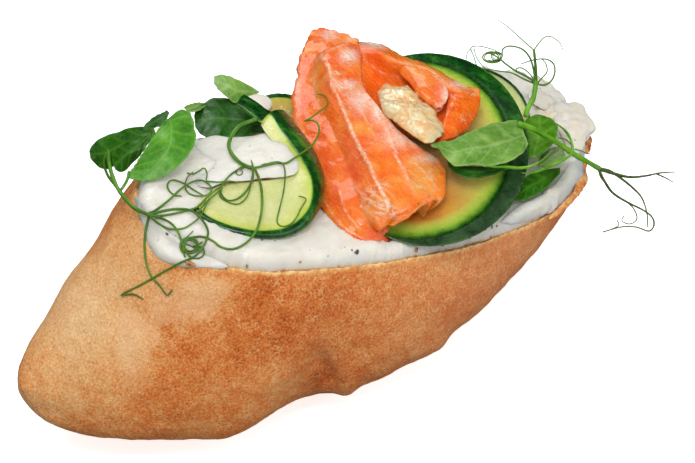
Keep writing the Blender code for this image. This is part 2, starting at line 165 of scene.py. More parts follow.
def spline(P, t):
    """Catmull-Rom through the rows of P at parameters t, 0 to 1."""
    P = np.asarray(P, float)
    P = np.concatenate([2 * P[:1] - P[1:2], P, 2 * P[-1:] - P[-2:-1]])
    m = len(P) - 3
    s = np.clip(np.asarray(t, float), 0.0, 1.0) * m
    i = np.minimum(s.astype(int), m - 1)
    f = (s - i).reshape((-1,) + (1,) * (P.ndim - 1))
    a, b, c, d = P[i], P[i + 1], P[i + 2], P[i + 3]
    return 0.5 * (2 * b + (c - a) * f + (2 * a - 5 * b + 4 * c - d) * f ** 2 + (3 * b - a - 3 * c + d) * f ** 3)


def even(P, n, closed=False):
    """n points at even spacing along a smooth run through P."""
    P = np.asarray(P, float)
    if closed:
        Q = np.concatenate([P[-2:], P, P[:2]])
        m = len(Q) - 1
        fine = spline(Q, np.linspace(2 / m, (len(P) + 2) / m, 40 * len(P) + 1))
    else:
        fine = spline(P, np.linspace(0, 1, 40 * len(P)))
    s = np.concatenate([[0], np.cumsum(np.linalg.norm(np.diff(fine, axis=0), axis=1))])
    want = np.linspace(0, s[-1], n + 1 if closed else n)
    out = np.stack([np.interp(want, s, fine[:, k]) for k in range(fine.shape[1])], 1)
    return out[:-1] if closed else out


def to_line(a, b, line):
    """Distance in mm on the sheet from points a, b to a polyline, and how far along it, 0 to 1."""
    L = even(np.asarray(line, float), 60)
    q = np.stack([np.ravel(a), np.ravel(b)], 1)
    best, where = np.full(len(q), 1e9), np.zeros(len(q))
    for k in range(len(L) - 1):
        e = L[k + 1] - L[k]
        t = np.clip(((q - L[k]) @ e) / max(e @ e, 1e-9), 0, 1)
        r = np.linalg.norm(q - L[k] - t[:, None] * e, axis=1) * FIFTH
        hit = r < best
        best[hit], where[hit] = r[hit], (k + t[hit]) / (len(L) - 1)
    return best.reshape(np.shape(a)), where.reshape(np.shape(a))


def hill(points):
    """Smooth surface through (a, b, value) points: returns value at a, b."""
    P = np.asarray(points, float)
    n = len(P)

    def kern(r2):
        return np.where(r2 > 1e-9, r2 * np.log(np.maximum(r2, 1e-9)), 0.0)
    d2 = ((P[:, None, :2] - P[None, :, :2]) ** 2).sum(-1) / 1e4
    A = np.zeros((n + 3, n + 3))
    A[:n, :n] = kern(d2) + 1e-4 * np.eye(n)
    A[:n, n] = A[n, :n] = 1
    A[:n, n + 1:] = P[:, :2] / 100
    A[n + 1:, :n] = P[:, :2].T / 100
    w = np.linalg.solve(A, np.concatenate([P[:, 2], np.zeros(3)]))

    def at(a, b):
        a, b = np.asarray(a, float), np.asarray(b, float)
        out = w[n] + w[n + 1] * a / 100 + w[n + 2] * b / 100
        for k in range(n):
            out = out + w[k] * kern(((a - P[k, 0]) ** 2 + (b - P[k, 1]) ** 2) / 1e4)
        return out
    return at


def section(x):
    t, e = x - NOSE_X, ease((TIP_X - x) / TIP_LEN, TIP_POW)
    wn = HALF_NEAR * ease(t / NOSE_NEAR, NOSE_POW) * e * (1.0 - WAIST_IN * np.exp(-((x - WAIST_X) / WAIST_L) ** 2))
    wf = HALF_FAR * ease(t / NOSE_FAR, NOSE_POW) * e
    zt = NOSE_H + (CROWN_H - NOSE_H) * ease(t / NOSE_TOP, NOSE_TOP_POW)
    lift = SOLE_LIFT * np.clip((x - SOLE_LIFT_X) / (TIP_X - SOLE_LIFT_X), 0.0, 1.0) ** 2
    zb = NOSE_H * (1.0 - ease(t / NOSE_SOLE, 2.0)) + lift
    yc = BOW * ((x - 45.0) / 60.0) ** 2
    return wn, wf, zt, zb, yc


def loaf(x, a):
    """Points of the whole loaf at stations x and angles a (same shape)."""
    wn, wf, zt, zb, yc = section(x)
    c, s = np.cos(a), np.sin(a)
    zm = zb + (zt - zb) * MID
    y = yc + np.where(c < 0, wn, wf) * np.sign(c) * np.abs(c) ** (2 / Y_POW)
    z = zm + np.where(s >= 0, (zt - zm) * np.abs(s) ** (2 / UP_POW), -(zm - zb) * np.abs(s) ** (2 / LOW_POW))
    p = np.stack([x, y, z], -1)
    out = p - np.stack([x, yc, zm], -1)
    n = np.maximum(np.linalg.norm(out, axis=-1, keepdims=True), 1e-6)
    for ctr, rad, dep in DENTS:
        q = (p - np.array(ctr)) / np.array(rad)
        p = p - out / n * dep * np.exp(-(q ** 2).sum(-1))[..., None]
    return p


def in_loaf(p):
    x, y, z = p[..., 0], p[..., 1], p[..., 2]
    xi = np.clip(x, NOSE_X + 0.2, TIP_X - 0.2)
    wn, wf, zt, zb, yc = section(xi)
    zm = zb + (zt - zb) * MID
    w = np.where(y < yc, wn, wf)
    up = z > zm
    hh = np.where(up, zt - zm, zm - zb)
    v = np.abs((y - yc) / np.maximum(w, 0.1)) ** Y_POW + np.abs((z - zm) / np.maximum(hh, 0.1)) ** np.where(up, UP_POW, LOW_POW)
    return (v < 1.0) & (x > NOSE_X + 0.2) & (x < TIP_X - 0.2)


# ---- meshes -------------------------------------------------------------------
PIECES = []


def put(name, verts, faces, mats, masks=None, slot=None, nodes=(), mat_of=None, fix=True):
    """One closed piece from mm points; masks are per-vertex numbers its material reads."""
    me = bpy.data.meshes.new(name)
    v = (np.asarray(verts, float) - ORIGIN) * MM
    if isinstance(faces, np.ndarray):
        faces = faces.tolist()
    me.from_pydata(v.tolist(), [], faces)
    for m in (mats if isinstance(mats, (list, tuple)) else [mats]):
        me.materials.append(m)
    if mat_of is not None:
        me.polygons.foreach_set("material_index", np.asarray(mat_of, np.int32))
    me.polygons.foreach_set("use_smooth", np.ones(len(me.polygons), bool))
    if fix:
        bm = bmesh.new()
        bm.from_mesh(me)
        bmesh.ops.recalc_face_normals(bm, faces=bm.faces)
        bm.to_mesh(me)
        bm.free()
    for key, val in (masks or {}).items():
        at = me.attributes.new(key, "FLOAT", "POINT")
        at.data.foreach_set("value", np.ascontiguousarray(np.ravel(val), dtype=np.float32))
    me.update()
    ob = bpy.data.objects.new(name, me)
    bpy.context.scene.collection.objects.link(ob)
    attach(ob, "root")
    if nodes:
        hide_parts(*nodes)
    PIECES.append(ob)
    return ob


def tree_of(names):
    """Rays are cast at these pieces, in mm of the loaf's layout."""
    V, F, n = [], [], 0
    for ob in PIECES:
        if ob.name in names or any(ob.name.startswith(q[:-1]) for q in names if q.endswith("*")):
            co = np.empty(len(ob.data.vertices) * 3)
            ob.data.vertices.foreach_get("co", co)
            V.append(co.reshape(-1, 3) / MM + ORIGIN)
            F += [tuple(n + i for i in p.vertices) for p in ob.data.polygons]
            n += len(ob.data.vertices)
    return BVHTree.FromPolygons(np.concatenate(V).tolist(), F)


def seen_depth(tree, a, b):
    """Depth of the first surface met along the sheet line at a, b, or nan."""
    o, e = sheet(a, b, 120.0), sheet(a, b, -120.0)
    flat_o, flat_e = o.reshape(-1, 3), e.reshape(-1, 3)
    out = np.full(len(flat_o), np.nan)
    for k in range(len(flat_o)):
        hit = tree.ray_cast(Vector(flat_o[k]), Vector(flat_e[k] - flat_o[k]))
        if hit[0] is not None:
            out[k] = depth(np.array(hit[0]))
    return out.reshape(np.shape(o)[:-1])


def normals_of(M):
    """Unit normals of a grid of points."""
    du = np.gradient(M, axis=1)
    dv = np.gradient(M, axis=0)
    n = np.cross(du, dv)
    n = n / np.maximum(np.linalg.norm(n, axis=-1, keepdims=True), 1e-9)
    if (n @ BACK).mean() < 0:
        n = -n
    return n


def marks(length, pitch, rim):
    """Places along 0..1, closer together in the rounded rim at both ends."""
    r = min(rim / max(length, 1e-6), 0.4)
    ends = r * np.array([0.0, 0.06, 0.22, 0.45, 0.72])
    n = max(3, int(round((1 - 2 * r) * length / pitch)))
    return np.concatenate([ends, np.linspace(r, 1 - r, n + 1), 1 - ends[::-1]])


def slab(name, M, thick, mats, rim=0.7, masks=None, rough=None, lean=0.0, **kw):
    """Closed sheet about the grid of points M: thick mm through, its rim rounded.
    lean shifts the thickness behind (-1) or before (+1) the points."""
    R, C = M.shape[:2]
    n = normals_of(M)
    su = np.concatenate([np.zeros((R, 1)), np.cumsum(np.linalg.norm(np.diff(M, axis=1), axis=-1), axis=1)], 1)
    sv = np.concatenate([np.zeros((1, C)), np.cumsum(np.linalg.norm(np.diff(M, axis=0), axis=-1), axis=0)], 0)
    e = np.minimum(np.minimum(su, su[:, -1:] - su), np.minimum(sv, sv[-1:] - sv))
    t = np.broadcast_to(np.asarray(thick, float), (R, C)) / 2
    half = t * np.sqrt(np.clip(1 - (1 - np.clip(e / rim, 0, 1)) ** 2, 0, 1))
    ctr = M + n * (t * lean)[..., None]
    front, back = ctr + n * half[..., None], ctr - n * half[..., None]
    if rough is not None:
        front = front + n * (rough(front) * np.clip(e / rim, 0, 1))[..., None]
        back = back - n * (rough(back + 31.0) * np.clip(e / rim, 0, 1))[..., None]
    ids = np.arange(R * C).reshape(R, C)
    inner = np.zeros((R, C), bool)
    inner[1:-1, 1:-1] = True
    bid = ids.copy()
    bid[inner] = R * C + np.arange(inner.sum())
    V = np.concatenate([front.reshape(-1, 3), back[inner]])
    q = lambda g: np.stack([g[:-1, :-1], g[:-1, 1:], g[1:, 1:], g[1:, :-1]], -1).reshape(-1, 4)
    F = np.concatenate([q(ids), q(bid)[:, ::-1]])
    mk = {k: np.concatenate([np.broadcast_to(m, (R, C)).ravel(), np.broadcast_to(m, (R, C))[inner]]) for k, m in (masks or {}).items()}
    mk["side"] = np.concatenate([np.zeros(R * C), np.ones(inner.sum())])
    return put(name, V, F, mats, mk, **kw)


def lines_patch(rows, pitch, rim, swell=None, along=1.0):
    """Grid of sheet positions from rows of (a, b) points: smooth both ways.
    Returns arrays a, b, u, v."""
    T = np.asarray(rows, float)
    w = np.linalg.norm(np.diff(T, axis=1), axis=-1).sum(1).mean() * FIFTH
    l = np.linalg.norm(np.diff(T, axis=0), axis=-1).sum(0).mean() * FIFTH * along
    u, v = marks(w, pitch, rim), marks(l, pitch, rim)
    G = spline(T, v)
    G = np.swapaxes(spline(np.swapaxes(G, 0, 1), u), 0, 1)
    vv, uu = np.meshgrid(v, u, indexing="ij")
    return G, uu, vv


def tube(name, P, r0, r1, mat, sides=8, bumps=0.0, taper=0.0, ribs=0.0, **kw):
    """Stem along points P, thinning from r0 to r1, its ends rounded; taper is the
    share of its length that swells from a thin start, ribs the depth of its ribs."""
    P = np.asarray(P, float)
    n = len(P)
    T = np.gradient(P, axis=0)
    T /= np.maximum(np.linalg.norm(T, axis=1, keepdims=True), 1e-9)
    side = np.cross(T[0], [0.3, 0.5, 0.8])
    rings, ang = [], 2 * np.pi * np.arange(sides) / sides
    s = np.concatenate([[0], np.cumsum(np.linalg.norm(np.diff(P, axis=0), axis=1))])
    for k in range(n):
        side = side - (side @ T[k]) * T[k]
        side /= max(np.linalg.norm(side), 1e-9)
        oth = np.cross(T[k], side)
        r = r0 + (r1 - r0) * (s[k] / s[-1]) ** 0.8
        r *= 1.0 + bumps * float(NOISES[3](np.array([s[k] * 0.9, r0 * 9, 0.3])))
        if taper:
            r *= 0.3 + 0.7 * float(smooth(0.0, taper, s[k] / s[-1]))
        r = r * (1.0 + ribs * np.cos(4 * ang + 0.4 * s[k] / max(r0, 0.2)))[:, None]
        rings.append(P[k] + r * (np.cos(ang)[:, None] * side + np.sin(ang)[:, None] * oth))
    V = np.concatenate(rings + [[P[0] - T[0] * r0 * 0.6], [P[-1] + T[-1] * r1 * 0.8]])
    F = []
    for i in range(n - 1):
        for k in range(sides):
            F.append((i * sides + k, i * sides + (k + 1) % sides, (i + 1) * sides + (k + 1) % sides, (i + 1) * sides + k))
    for k in range(sides):
        F.append((k, (k + 1) % sides, n * sides))
        F.append(((n - 1) * sides + k, (n - 1) * sides + (k + 1) % sides, n * sides + 1))
    along = np.concatenate([np.repeat(s / s[-1], sides), [0.0, 1.0]])
    return put(name, V, F, mat, {"along": along}, **kw)


# ---- shader building ------------------------------------------------------------
def srgb(r, g, b):
    c = np.array([r, g, b], float) / 255.0
    c = np.where(c <= 0.04045, c / 12.92, ((c + 0.055) / 1.055) ** 2.4)
    return (float(c[0]), float(c[1]), float(c[2]), 1.0)


class Look:
    """A material on one Principled shader, with short names for the nodes it needs."""

    def __init__(self, name, rough=0.5, **kw):
        self.m = bpy.data.materials.new(name)
        self.m.use_nodes = True
        self.t = self.m.node_tree
        self.p = self.t.nodes["Principled BSDF"]
        self.p.inputs["Roughness"].default_value = rough
        for k, v in kw.items():
            self.p.inputs[k.replace("_", " ")].default_value = v
        self.co = self.t.nodes.new("ShaderNodeTexCoord").outputs["Object"]

    def feed(self, node, i, v):
        s = node.inputs[i]
        if isinstance(v, bpy.types.NodeSocket):
            self.t.links.new(v, s)
        elif v is not None:
            s.default_value = v

    def mask(self, name):
        n = self.t.nodes.new("ShaderNodeAttribute")
        n.attribute_name = name
        return n.outputs["Fac"]

    def noise(self, size, detail=3.0, rough=0.55, stretch=None, distort=0.0):
        """Noise whose lumps are about size mm."""
        n = self.t.nodes.new("ShaderNodeTexNoise")
        n.inputs["Scale"].default_value = 1000.0 / size
        n.inputs["Detail"].default_value = detail
        n.inputs["Roughness"].default_value = rough
        n.inputs["Distortion"].default_value = distort
        self.t.links.new(self.stretched(stretch), n.inputs["Vector"])
        return n.outputs["Fac"]

    def stretched(self, stretch):
        if stretch is None:
            return self.co
        m = self.t.nodes.new("ShaderNodeMapping")
        self.t.links.new(self.co, m.inputs["Vector"])
        m.inputs["Rotation"].default_value = stretch[0]
        m.inputs["Scale"].default_value = stretch[1]
        return m.outputs["Vector"]

    def cells(self, size, feature="F1", stretch=None, random=1.0, at=None):
        n = self.t.nodes.new("ShaderNodeTexVoronoi")
        n.feature = feature
        n.inputs["Scale"].default_value = 1000.0 / size
        n.inputs["Randomness"].default_value = random
        self.t.links.new(at or self.stretched(stretch), n.inputs["Vector"])
        return n.outputs["Distance"]

    def pushed(self, at, size, by):
        """Aligned coordinates pushed about by up to by of their units."""
        n = self.t.nodes.new("ShaderNodeTexNoise")
        n.inputs["Scale"].default_value = 1000.0 / size
        n.inputs["Detail"].default_value = 3.0
        self.t.links.new(self.co, n.inputs["Vector"])
        m = self.t.nodes.new("ShaderNodeVectorMath")
        m.operation = "MULTIPLY_ADD"
        self.t.links.new(n.outputs["Color"], m.inputs[0])
        m.inputs[1].default_value = (2 * by,) * 3
        self.t.links.new(at, m.inputs[2])
        return m.outputs[0]

    def warped(self, size, mm):
        """Object coordinates pushed about by up to mm."""
        n = self.t.nodes.new("ShaderNodeTexNoise")
        n.inputs["Scale"].default_value = 1000.0 / size
        n.inputs["Detail"].default_value = 3.0
        self.t.links.new(self.co, n.inputs["Vector"])
        m = self.t.nodes.new("ShaderNodeVectorMath")
        m.operation = "MULTIPLY_ADD"
        self.t.links.new(n.outputs["Color"], m.inputs[0])
        m.inputs[1].default_value = (2 * mm * MM,) * 3
        self.t.links.new(self.co, m.inputs[2])
        return m.outputs[0]

    def aligned(self, along, face, sizes):
        """Coordinates drawn out along a direction: sizes in mm along it, across it and through the face."""
        u = np.asarray(along, float) / np.linalg.norm(along)
        w = np.asarray(face, float) - (np.asarray(face) @ u) * u
        w = w / np.linalg.norm(w)
        c = self.t.nodes.new("ShaderNodeCombineXYZ")
        for i, (d, size) in enumerate(zip((u, np.cross(w, u), w), sizes)):
            n = self.t.nodes.new("ShaderNodeVectorMath")
            n.operation = "DOT_PRODUCT"
            self.t.links.new(self.co, n.inputs[0])
            n.inputs[1].default_value = tuple(d * 1000.0 / size)
            self.t.links.new(n.outputs["Value"], c.inputs[i])
        return c.outputs[0]

    def grain(self, along, face, sizes, detail=3.0, rough=0.6):
        """Noise on aligned coordinates."""
        n = self.t.nodes.new("ShaderNodeTexNoise")
        n.inputs["Scale"].default_value = 1.0
        n.inputs["Detail"].default_value = detail
        n.inputs["Roughness"].default_value = rough
        self.t.links.new(self.aligned(along, face, sizes), n.inputs["Vector"])
        return n.outputs["Fac"]

    def web(self, at, size, width):
        """Thin branching lines between cells."""
        return self.span(self.cells(size, "DISTANCE_TO_EDGE", at=at), 0.0, width, 1.0, 0.0)

    def math(self, op, a, b=None, c=None):
        n = self.t.nodes.new("ShaderNodeMath")
        n.operation = op
        for i, v in enumerate((a, b, c)):
            self.feed(n, i, v)
        return n.outputs[0]

    def span(self, v, a, b, c=0.0, d=1.0, kind="SMOOTHSTEP"):
        n = self.t.nodes.new("ShaderNodeMapRange")
        n.interpolation_type = kind
        for i, q in enumerate((v, a, b, c, d)):
            self.feed(n, i, q)
        return n.outputs[0]

    def ramp(self, fac, stops, kind="LINEAR"):
        n = self.t.nodes.new("ShaderNodeValToRGB")
        n.color_ramp.interpolation = kind
        el = n.color_ramp.elements
        el[0].position, el[0].color = stops[0]
        el[1].position, el[1].color = stops[-1]
        for p, c in stops[1:-1]:
            q = el.new(p)
            q.color = c
        self.feed(n, 0, fac)
        return n.outputs["Color"]

    def mix(self, fac, a, b, blend="MIX"):
        n = self.t.nodes.new("ShaderNodeMix")
        n.data_type = "RGBA"
        n.blend_type = blend
        self.feed(n, 0, fac)
        self.feed(n, 6, a)
        self.feed(n, 7, b)
        return n.outputs[2]

    def bump(self, h, mm, strength=1.0, under=None):
        n = self.t.nodes.new("ShaderNodeBump")
        n.inputs["Strength"].default_value = strength
        n.inputs["Distance"].default_value = mm * MM
        self.feed(n, "Height", h)
        if under is not None:
            self.t.links.new(under, n.inputs["Normal"])
        return n.outputs["Normal"]

    def end(self, colour=None, rough=None, normal=None):
        for key, v in (("Base Color", colour), ("Roughness", rough), ("Normal", normal)):
            if v is not None:
                self.feed(self.p, key, v)
        return self.m


# ---- materials -------------------------------------------------------------------
def make_crust():
    k = Look("baked_crust", 0.6, Specular_IOR_Level=0.2)
    # the toast mask is browning, plus painted shade darkening the pinch valley on the near side
    toast, pink, rim, pale = k.mask("toast"), k.mask("pink"), k.mask("rim"), k.mask("pale")
    grain = k.noise(0.42, 2.0, 0.6)
    mottle = k.noise(2.4, 5.0, 0.7)
    broad = k.noise(8.0, 3.0, 0.55)
    flake = k.span(k.noise(6.5, 3.0, 0.5, None, 1.4), 0.50, 0.545)
    t = k.math("MULTIPLY", k.math("SUBTRACT", mottle, 0.5), 0.44)
    t = k.math("MULTIPLY_ADD", k.math("SUBTRACT", broad, 0.5), 0.24, t)
    t = k.math("MULTIPLY_ADD", k.math("SUBTRACT", flake, 0.5), -0.08, t)
    t = k.math("MULTIPLY_ADD", t, k.math("MULTIPLY_ADD", toast, 0.9, 0.28), toast)
    t = k.math("MULTIPLY_ADD", k.math("SUBTRACT", grain, 0.5), 1.0, t)
    c = k.ramp(t, [(0.0, srgb(250, 216, 168)), (0.25, srgb(236, 190, 136)), (0.45, srgb(226, 162, 100)), (0.62, srgb(216, 132, 66)),
                   (0.78, srgb(204, 106, 40)), (0.92, srgb(178, 84, 28)), (1.0, srgb(146, 66, 24))])
    c = k.mix(k.math("MULTIPLY", pink, 0.30), c, srgb(222, 144, 112))
    c = k.mix(k.math("MULTIPLY", pale, k.span(k.noise(5.0, 4.0, 0.6), 0.35, 0.55, 0.12, 0.34)), c, k.ramp(mottle, [(0.3, srgb(226, 150, 104)), (0.7, srgb(248, 206, 164))]))
    spots = k.math("MULTIPLY", k.span(k.cells(0.9), 0.10, 0.24, 1.0, 0.0), k.span(k.noise(3.2, 2.0), 0.40, 0.58))
    c = k.mix(k.math("MULTIPLY", spots, 0.5), c, srgb(250, 206, 152))
    crack = k.web(k.warped(1.0, 0.8), 1.15, 0.11)
    crack = k.math("MULTIPLY", crack, k.span(k.noise(2.6, 3.0, 0.6), 0.46, 0.62))
    c = k.mix(k.math("MULTIPLY", crack, 0.55), c, srgb(250, 196, 130))
    pores = k.math("MULTIPLY", k.span(k.cells(1.7), 0.03, 0.10, 1.0, 0.0), k.span(mottle, 0.42, 0.6))
    c = k.mix(k.math("MULTIPLY", pores, 0.5), c, srgb(130, 66, 30))
    c = k.mix(rim, c, k.ramp(k.noise(0.9, 3.0), [(0.35, srgb(222, 150, 78)), (0.65, srgb(250, 214, 150))]))
    n = k.bump(grain, 0.13, 0.9)
    n = k.bump(k.cells(0.9), 0.08, 0.6, n)
    n = k.bump(crack, 0.06, 0.6, n)
    n = k.bump(mottle, 0.30, 0.6, n)
    r = k.span(mottle, 0.3, 0.7, 0.5, 0.68)
    return k.end(c, r, n)


def make_crumb():
    k = Look("bread_crumb", 0.75, Subsurface_Weight=0.2, Subsurface_Scale=0.001)
    rim = k.mask("rim")
    base = k.ramp(k.noise(1.6, 4.0, 0.65), [(0.3, srgb(226, 186, 124)), (0.7, srgb(250, 232, 196))])
    c = k.mix(rim, base, k.ramp(k.noise(0.8, 3.0), [(0.35, srgb(196, 122, 58)), (0.7, srgb(240, 200, 138))]))
    return k.end(c, None, k.bump(k.noise(0.5, 3.0, 0.7), 0.2, 1.0))


def make_cream():
    k = Look("cream_cheese", 0.38, Subsurface_Weight=0.6, Subsurface_Scale=0.003, Subsurface_Radius=(1.0, 0.8, 0.55))
    w = k.noise(5.0, 3.0, 0.5)
    c = k.ramp(w, [(0.3, srgb(222, 218, 207)), (0.7, srgb(231, 228, 219))])
    c = k.mix(k.math("MULTIPLY", k.mask("butter"), 0.8), c, srgb(226, 204, 166))
    n = k.bump(k.noise(0.7, 3.0, 0.6), 0.12, 0.5)
    n = k.bump(k.noise(2.4, 2.0, 0.5), 0.35, 0.5, n)
    return k.end(c, k.span(k.noise(1.6, 2.0), 0.35, 0.7, 0.3, 0.5), n)


def make_salmon():
    k = Look("salmon_flesh", 0.3, Subsurface_Weight=0.35, Subsurface_Scale=0.002, Subsurface_Radius=(1.0, 0.30, 0.07),
             Specular_IOR_Level=0.4, Coat_Weight=0.5, Coat_Roughness=0.05)
    fat, deep, frost, glow, rose, milk = (k.mask(q) for q in ("fat", "deep", "frost", "glow", "rose", "milk"))
    down, flat = 0.74 * RIGHT - 0.67 * UP, 0.97 * RIGHT + 0.2 * UP
    w = k.noise(3.2, 4.0, 0.6)
    st = k.grain(down, BACK, (2.8, 0.5, 1.4), 4.0, 0.65)
    fine = k.noise(0.5, 3.0, 0.7)
    patch = k.noise(2.0, 4.0, 0.65)
    c = k.ramp(w, [(0.28, srgb(246, 86, 6)), (0.5, srgb(252, 116, 26)), (0.72, srgb(255, 152, 62))])
    c = k.mix(k.math("MULTIPLY", rose, 0.85), c, k.ramp(w, [(0.3, srgb(240, 82, 34)), (0.7, srgb(252, 120, 68))]))
    # painted light: lighter yellow-orange where light shines through thin flesh and on lit facets
    c = k.mix(glow, c, k.ramp(w, [(0.3, srgb(253, 132, 28)), (0.7, srgb(255, 182, 92))]))
    # painted shade: deeper, darker orange in the hollow behind the fold and on shaded parts of the flesh
    c = k.mix(deep, c, k.ramp(w, [(0.3, srgb(226, 74, 0)), (0.7, srgb(252, 116, 0))]))
    # painted sheen: faint pale streaks along the grain of the flesh
    c = k.mix(k.math("MULTIPLY", k.span(st, 0.52, 0.68), 0.25), c, srgb(255, 184, 128))
    # pale milky patches: partly the flesh's own whitish fat, partly painted highlight
    c = k.mix(k.math("MULTIPLY", milk, k.span(patch, 0.36, 0.54, 0.55, 1.0)), c, k.ramp(fine, [(0.35, srgb(255, 204, 176)), (0.62, srgb(255, 240, 232))]))
    crumbly = k.span(k.noise(0.75, 3.0, 0.7), 0.40, 0.56, 0.25, 1.0)
    fatty = k.math("MULTIPLY", fat, k.math("MULTIPLY", crumbly, k.span(patch, 0.34, 0.52, 0.45, 1.0)))
    c = k.mix(fatty, c, k.ramp(fine, [(0.35, srgb(255, 196, 156)), (0.6, srgb(255, 228, 208))]))
    # painted highlights: bright glints on wet fibres, threads drawn out down the flesh and across it, in clusters
    a = k.web(k.pushed(k.aligned(down, BACK, (4.4, 1.3, 2.4)), 2.2, 0.5), 1000.0, 0.12)
    b = k.web(k.pushed(k.aligned(flat, BACK, (2.8, 0.95, 1.8)), 1.6, 0.5), 1000.0, 0.13)
    a = k.math("MULTIPLY", a, k.span(patch, 0.46, 0.56))
    b = k.math("MULTIPLY", b, k.span(patch, 0.54, 0.44))
    cluster = k.span(k.math("MULTIPLY_ADD", k.math("SUBTRACT", k.noise(2.6, 3.0, 0.6), 0.5), 2.2, frost), 0.46, 0.86)
    dots = k.math("MULTIPLY", k.span(k.cells(0.8), 0.12, 0.28, 1.0, 0.0), k.span(k.noise(1.8, 2.0), 0.48, 0.58))
    wet_glints = k.math("MULTIPLY", k.math("MAXIMUM", k.math("MAXIMUM", a, b), k.math("MULTIPLY", dots, 0.8)), cluster)
    c = k.mix(k.math("MULTIPLY", wet_glints, 0.68), c, k.ramp(patch, [(0.4, srgb(255, 204, 150)), (0.6, srgb(255, 236, 222))]))
    # painted highlight: frosty pale flecks where the glints gather
    fr = k.math("MULTIPLY", cluster, k.span(k.math("MULTIPLY_ADD", fine, 0.5, k.math("MULTIPLY", st, 0.5)), 0.52, 0.58))
    c = k.mix(k.math("MULTIPLY", fr, 0.20), c, srgb(255, 222, 196))
    n = k.bump(fine, 0.10, 0.8)
    n = k.bump(wet_glints, 0.12, 0.8, n)
    n = k.bump(st, 0.34, 0.9, n)
    n = k.bump(patch, 0.34, 0.7, n)
    n = k.bump(w, 0.6, 0.6, n)
    r = k.span(fine, 0.35, 0.7, 0.12, 0.32)
    return k.end(c, r, n)


def make_citrus():
    k = Look("citrus_pulp", 0.14, Subsurface_Weight=0.95, Subsurface_Scale=0.007, Subsurface_Radius=(1.0, 0.66, 0.34),
             Specular_IOR_Level=0.6, Coat_Weight=0.6, Coat_Roughness=0.05)
    w = k.noise(3.2, 3.0, 0.6)
    fine = k.noise(0.6, 3.0, 0.7)
    cell = k.mask("cell")
    c = k.ramp(k.math("MULTIPLY_ADD", cell, 0.22, k.math("MULTIPLY", w, 0.8)),
               [(0.25, srgb(242, 172, 108)), (0.46, srgb(252, 198, 144)), (0.60, srgb(252, 214, 164)), (0.8, srgb(255, 232, 204))])
    # painted highlights: pale web lines and fine white specks stand for glints on the glassy pulp
    pale = k.math("MULTIPLY", k.web(k.warped(0.9, 0.5), 1.15, 0.10), k.span(w, 0.40, 0.56))
    c = k.mix(k.math("MULTIPLY", pale, 0.4), c, srgb(255, 246, 230))
    c = k.mix(k.math("MULTIPLY", k.span(fine, 0.56, 0.66), 0.35), c, srgb(255, 246, 228))
    c = k.mix(k.math("MULTIPLY", k.mask("seam"), 0.35), c, srgb(240, 168, 104))
    n = k.bump(k.cells(0.7), 0.07, 0.7)
    n = k.bump(pale, 0.10, 0.7, n)
    n = k.bump(fine, 0.06, 0.7, n)
    return k.end(c, k.span(w, 0.3, 0.7, 0.08, 0.24), n)


def make_cucumber():
    k = Look("cucumber_slice", 0.28, Subsurface_Weight=0.45, Subsurface_Scale=0.003, Subsurface_Radius=(0.7, 1.0, 0.35),
             Coat_Weight=0.25, Coat_Roughness=0.1)
    ring, peel, warm, seed = k.mask("ring"), k.mask("peel"), k.mask("warm"), k.mask("seed")
    q = k.math("ADD", ring, k.math("MULTIPLY", k.math("SUBTRACT", k.noise(2.2, 3.0, 0.6), 0.5), 0.05))
    flesh = k.ramp(q, [(0.0, srgb(208, 214, 148)), (0.5, srgb(206, 212, 126)), (0.85, srgb(196, 206, 92)), (0.92, srgb(162, 188, 66)),
                       (0.955, srgb(104, 154, 40)), (0.982, srgb(38, 94, 16)), (1.0, srgb(14, 54, 14))])
    flesh = k.mix(k.math("MULTIPLY", k.math("MULTIPLY", k.span(k.noise(3.0, 3.0, 0.6), 0.45, 0.7), 0.3), k.span(q, 0.76, 0.86, 1.0, 0.0)), flesh, srgb(222, 222, 160))
    flesh = k.mix(k.math("MULTIPLY", seed, 0.55), flesh, srgb(226, 226, 176))
    # painted reflection and shade: the orange cast of the salmon on the flesh
    flesh = k.mix(k.math("MULTIPLY", warm, k.span(q, 0.80, 0.90, 1.0, 0.0)), flesh, k.ramp(k.noise(4.0, 3.0), [(0.35, srgb(208, 86, 0)), (0.65, srgb(222, 110, 0))]))
    skin = k.ramp(k.noise(2.0, 4.0, 0.62, ((0.4, 0.2, 0.6), (1.0, 0.5, 1.0))),
                  [(0.32, srgb(6, 44, 14)), (0.52, srgb(14, 78, 16)), (0.7, srgb(54, 132, 34))])
    # waxy bloom and painted sheen: greyer on the lower side of the peel
    skin = k.mix(k.mask("bloom"), skin, k.ramp(k.noise(3.0, 3.0), [(0.3, srgb(28, 54, 34)), (0.7, srgb(64, 92, 58))]))
    c = k.mix(peel, flesh, skin)
    n = k.bump(k.noise(0.7, 3.0, 0.6), 0.10, 0.6)
    n = k.bump(k.noise(2.6, 2.0, 0.5), 0.3, 0.4, n)
    return k.end(c, k.span(k.noise(1.4, 2.0), 0.3, 0.7, 0.2, 0.4), n)


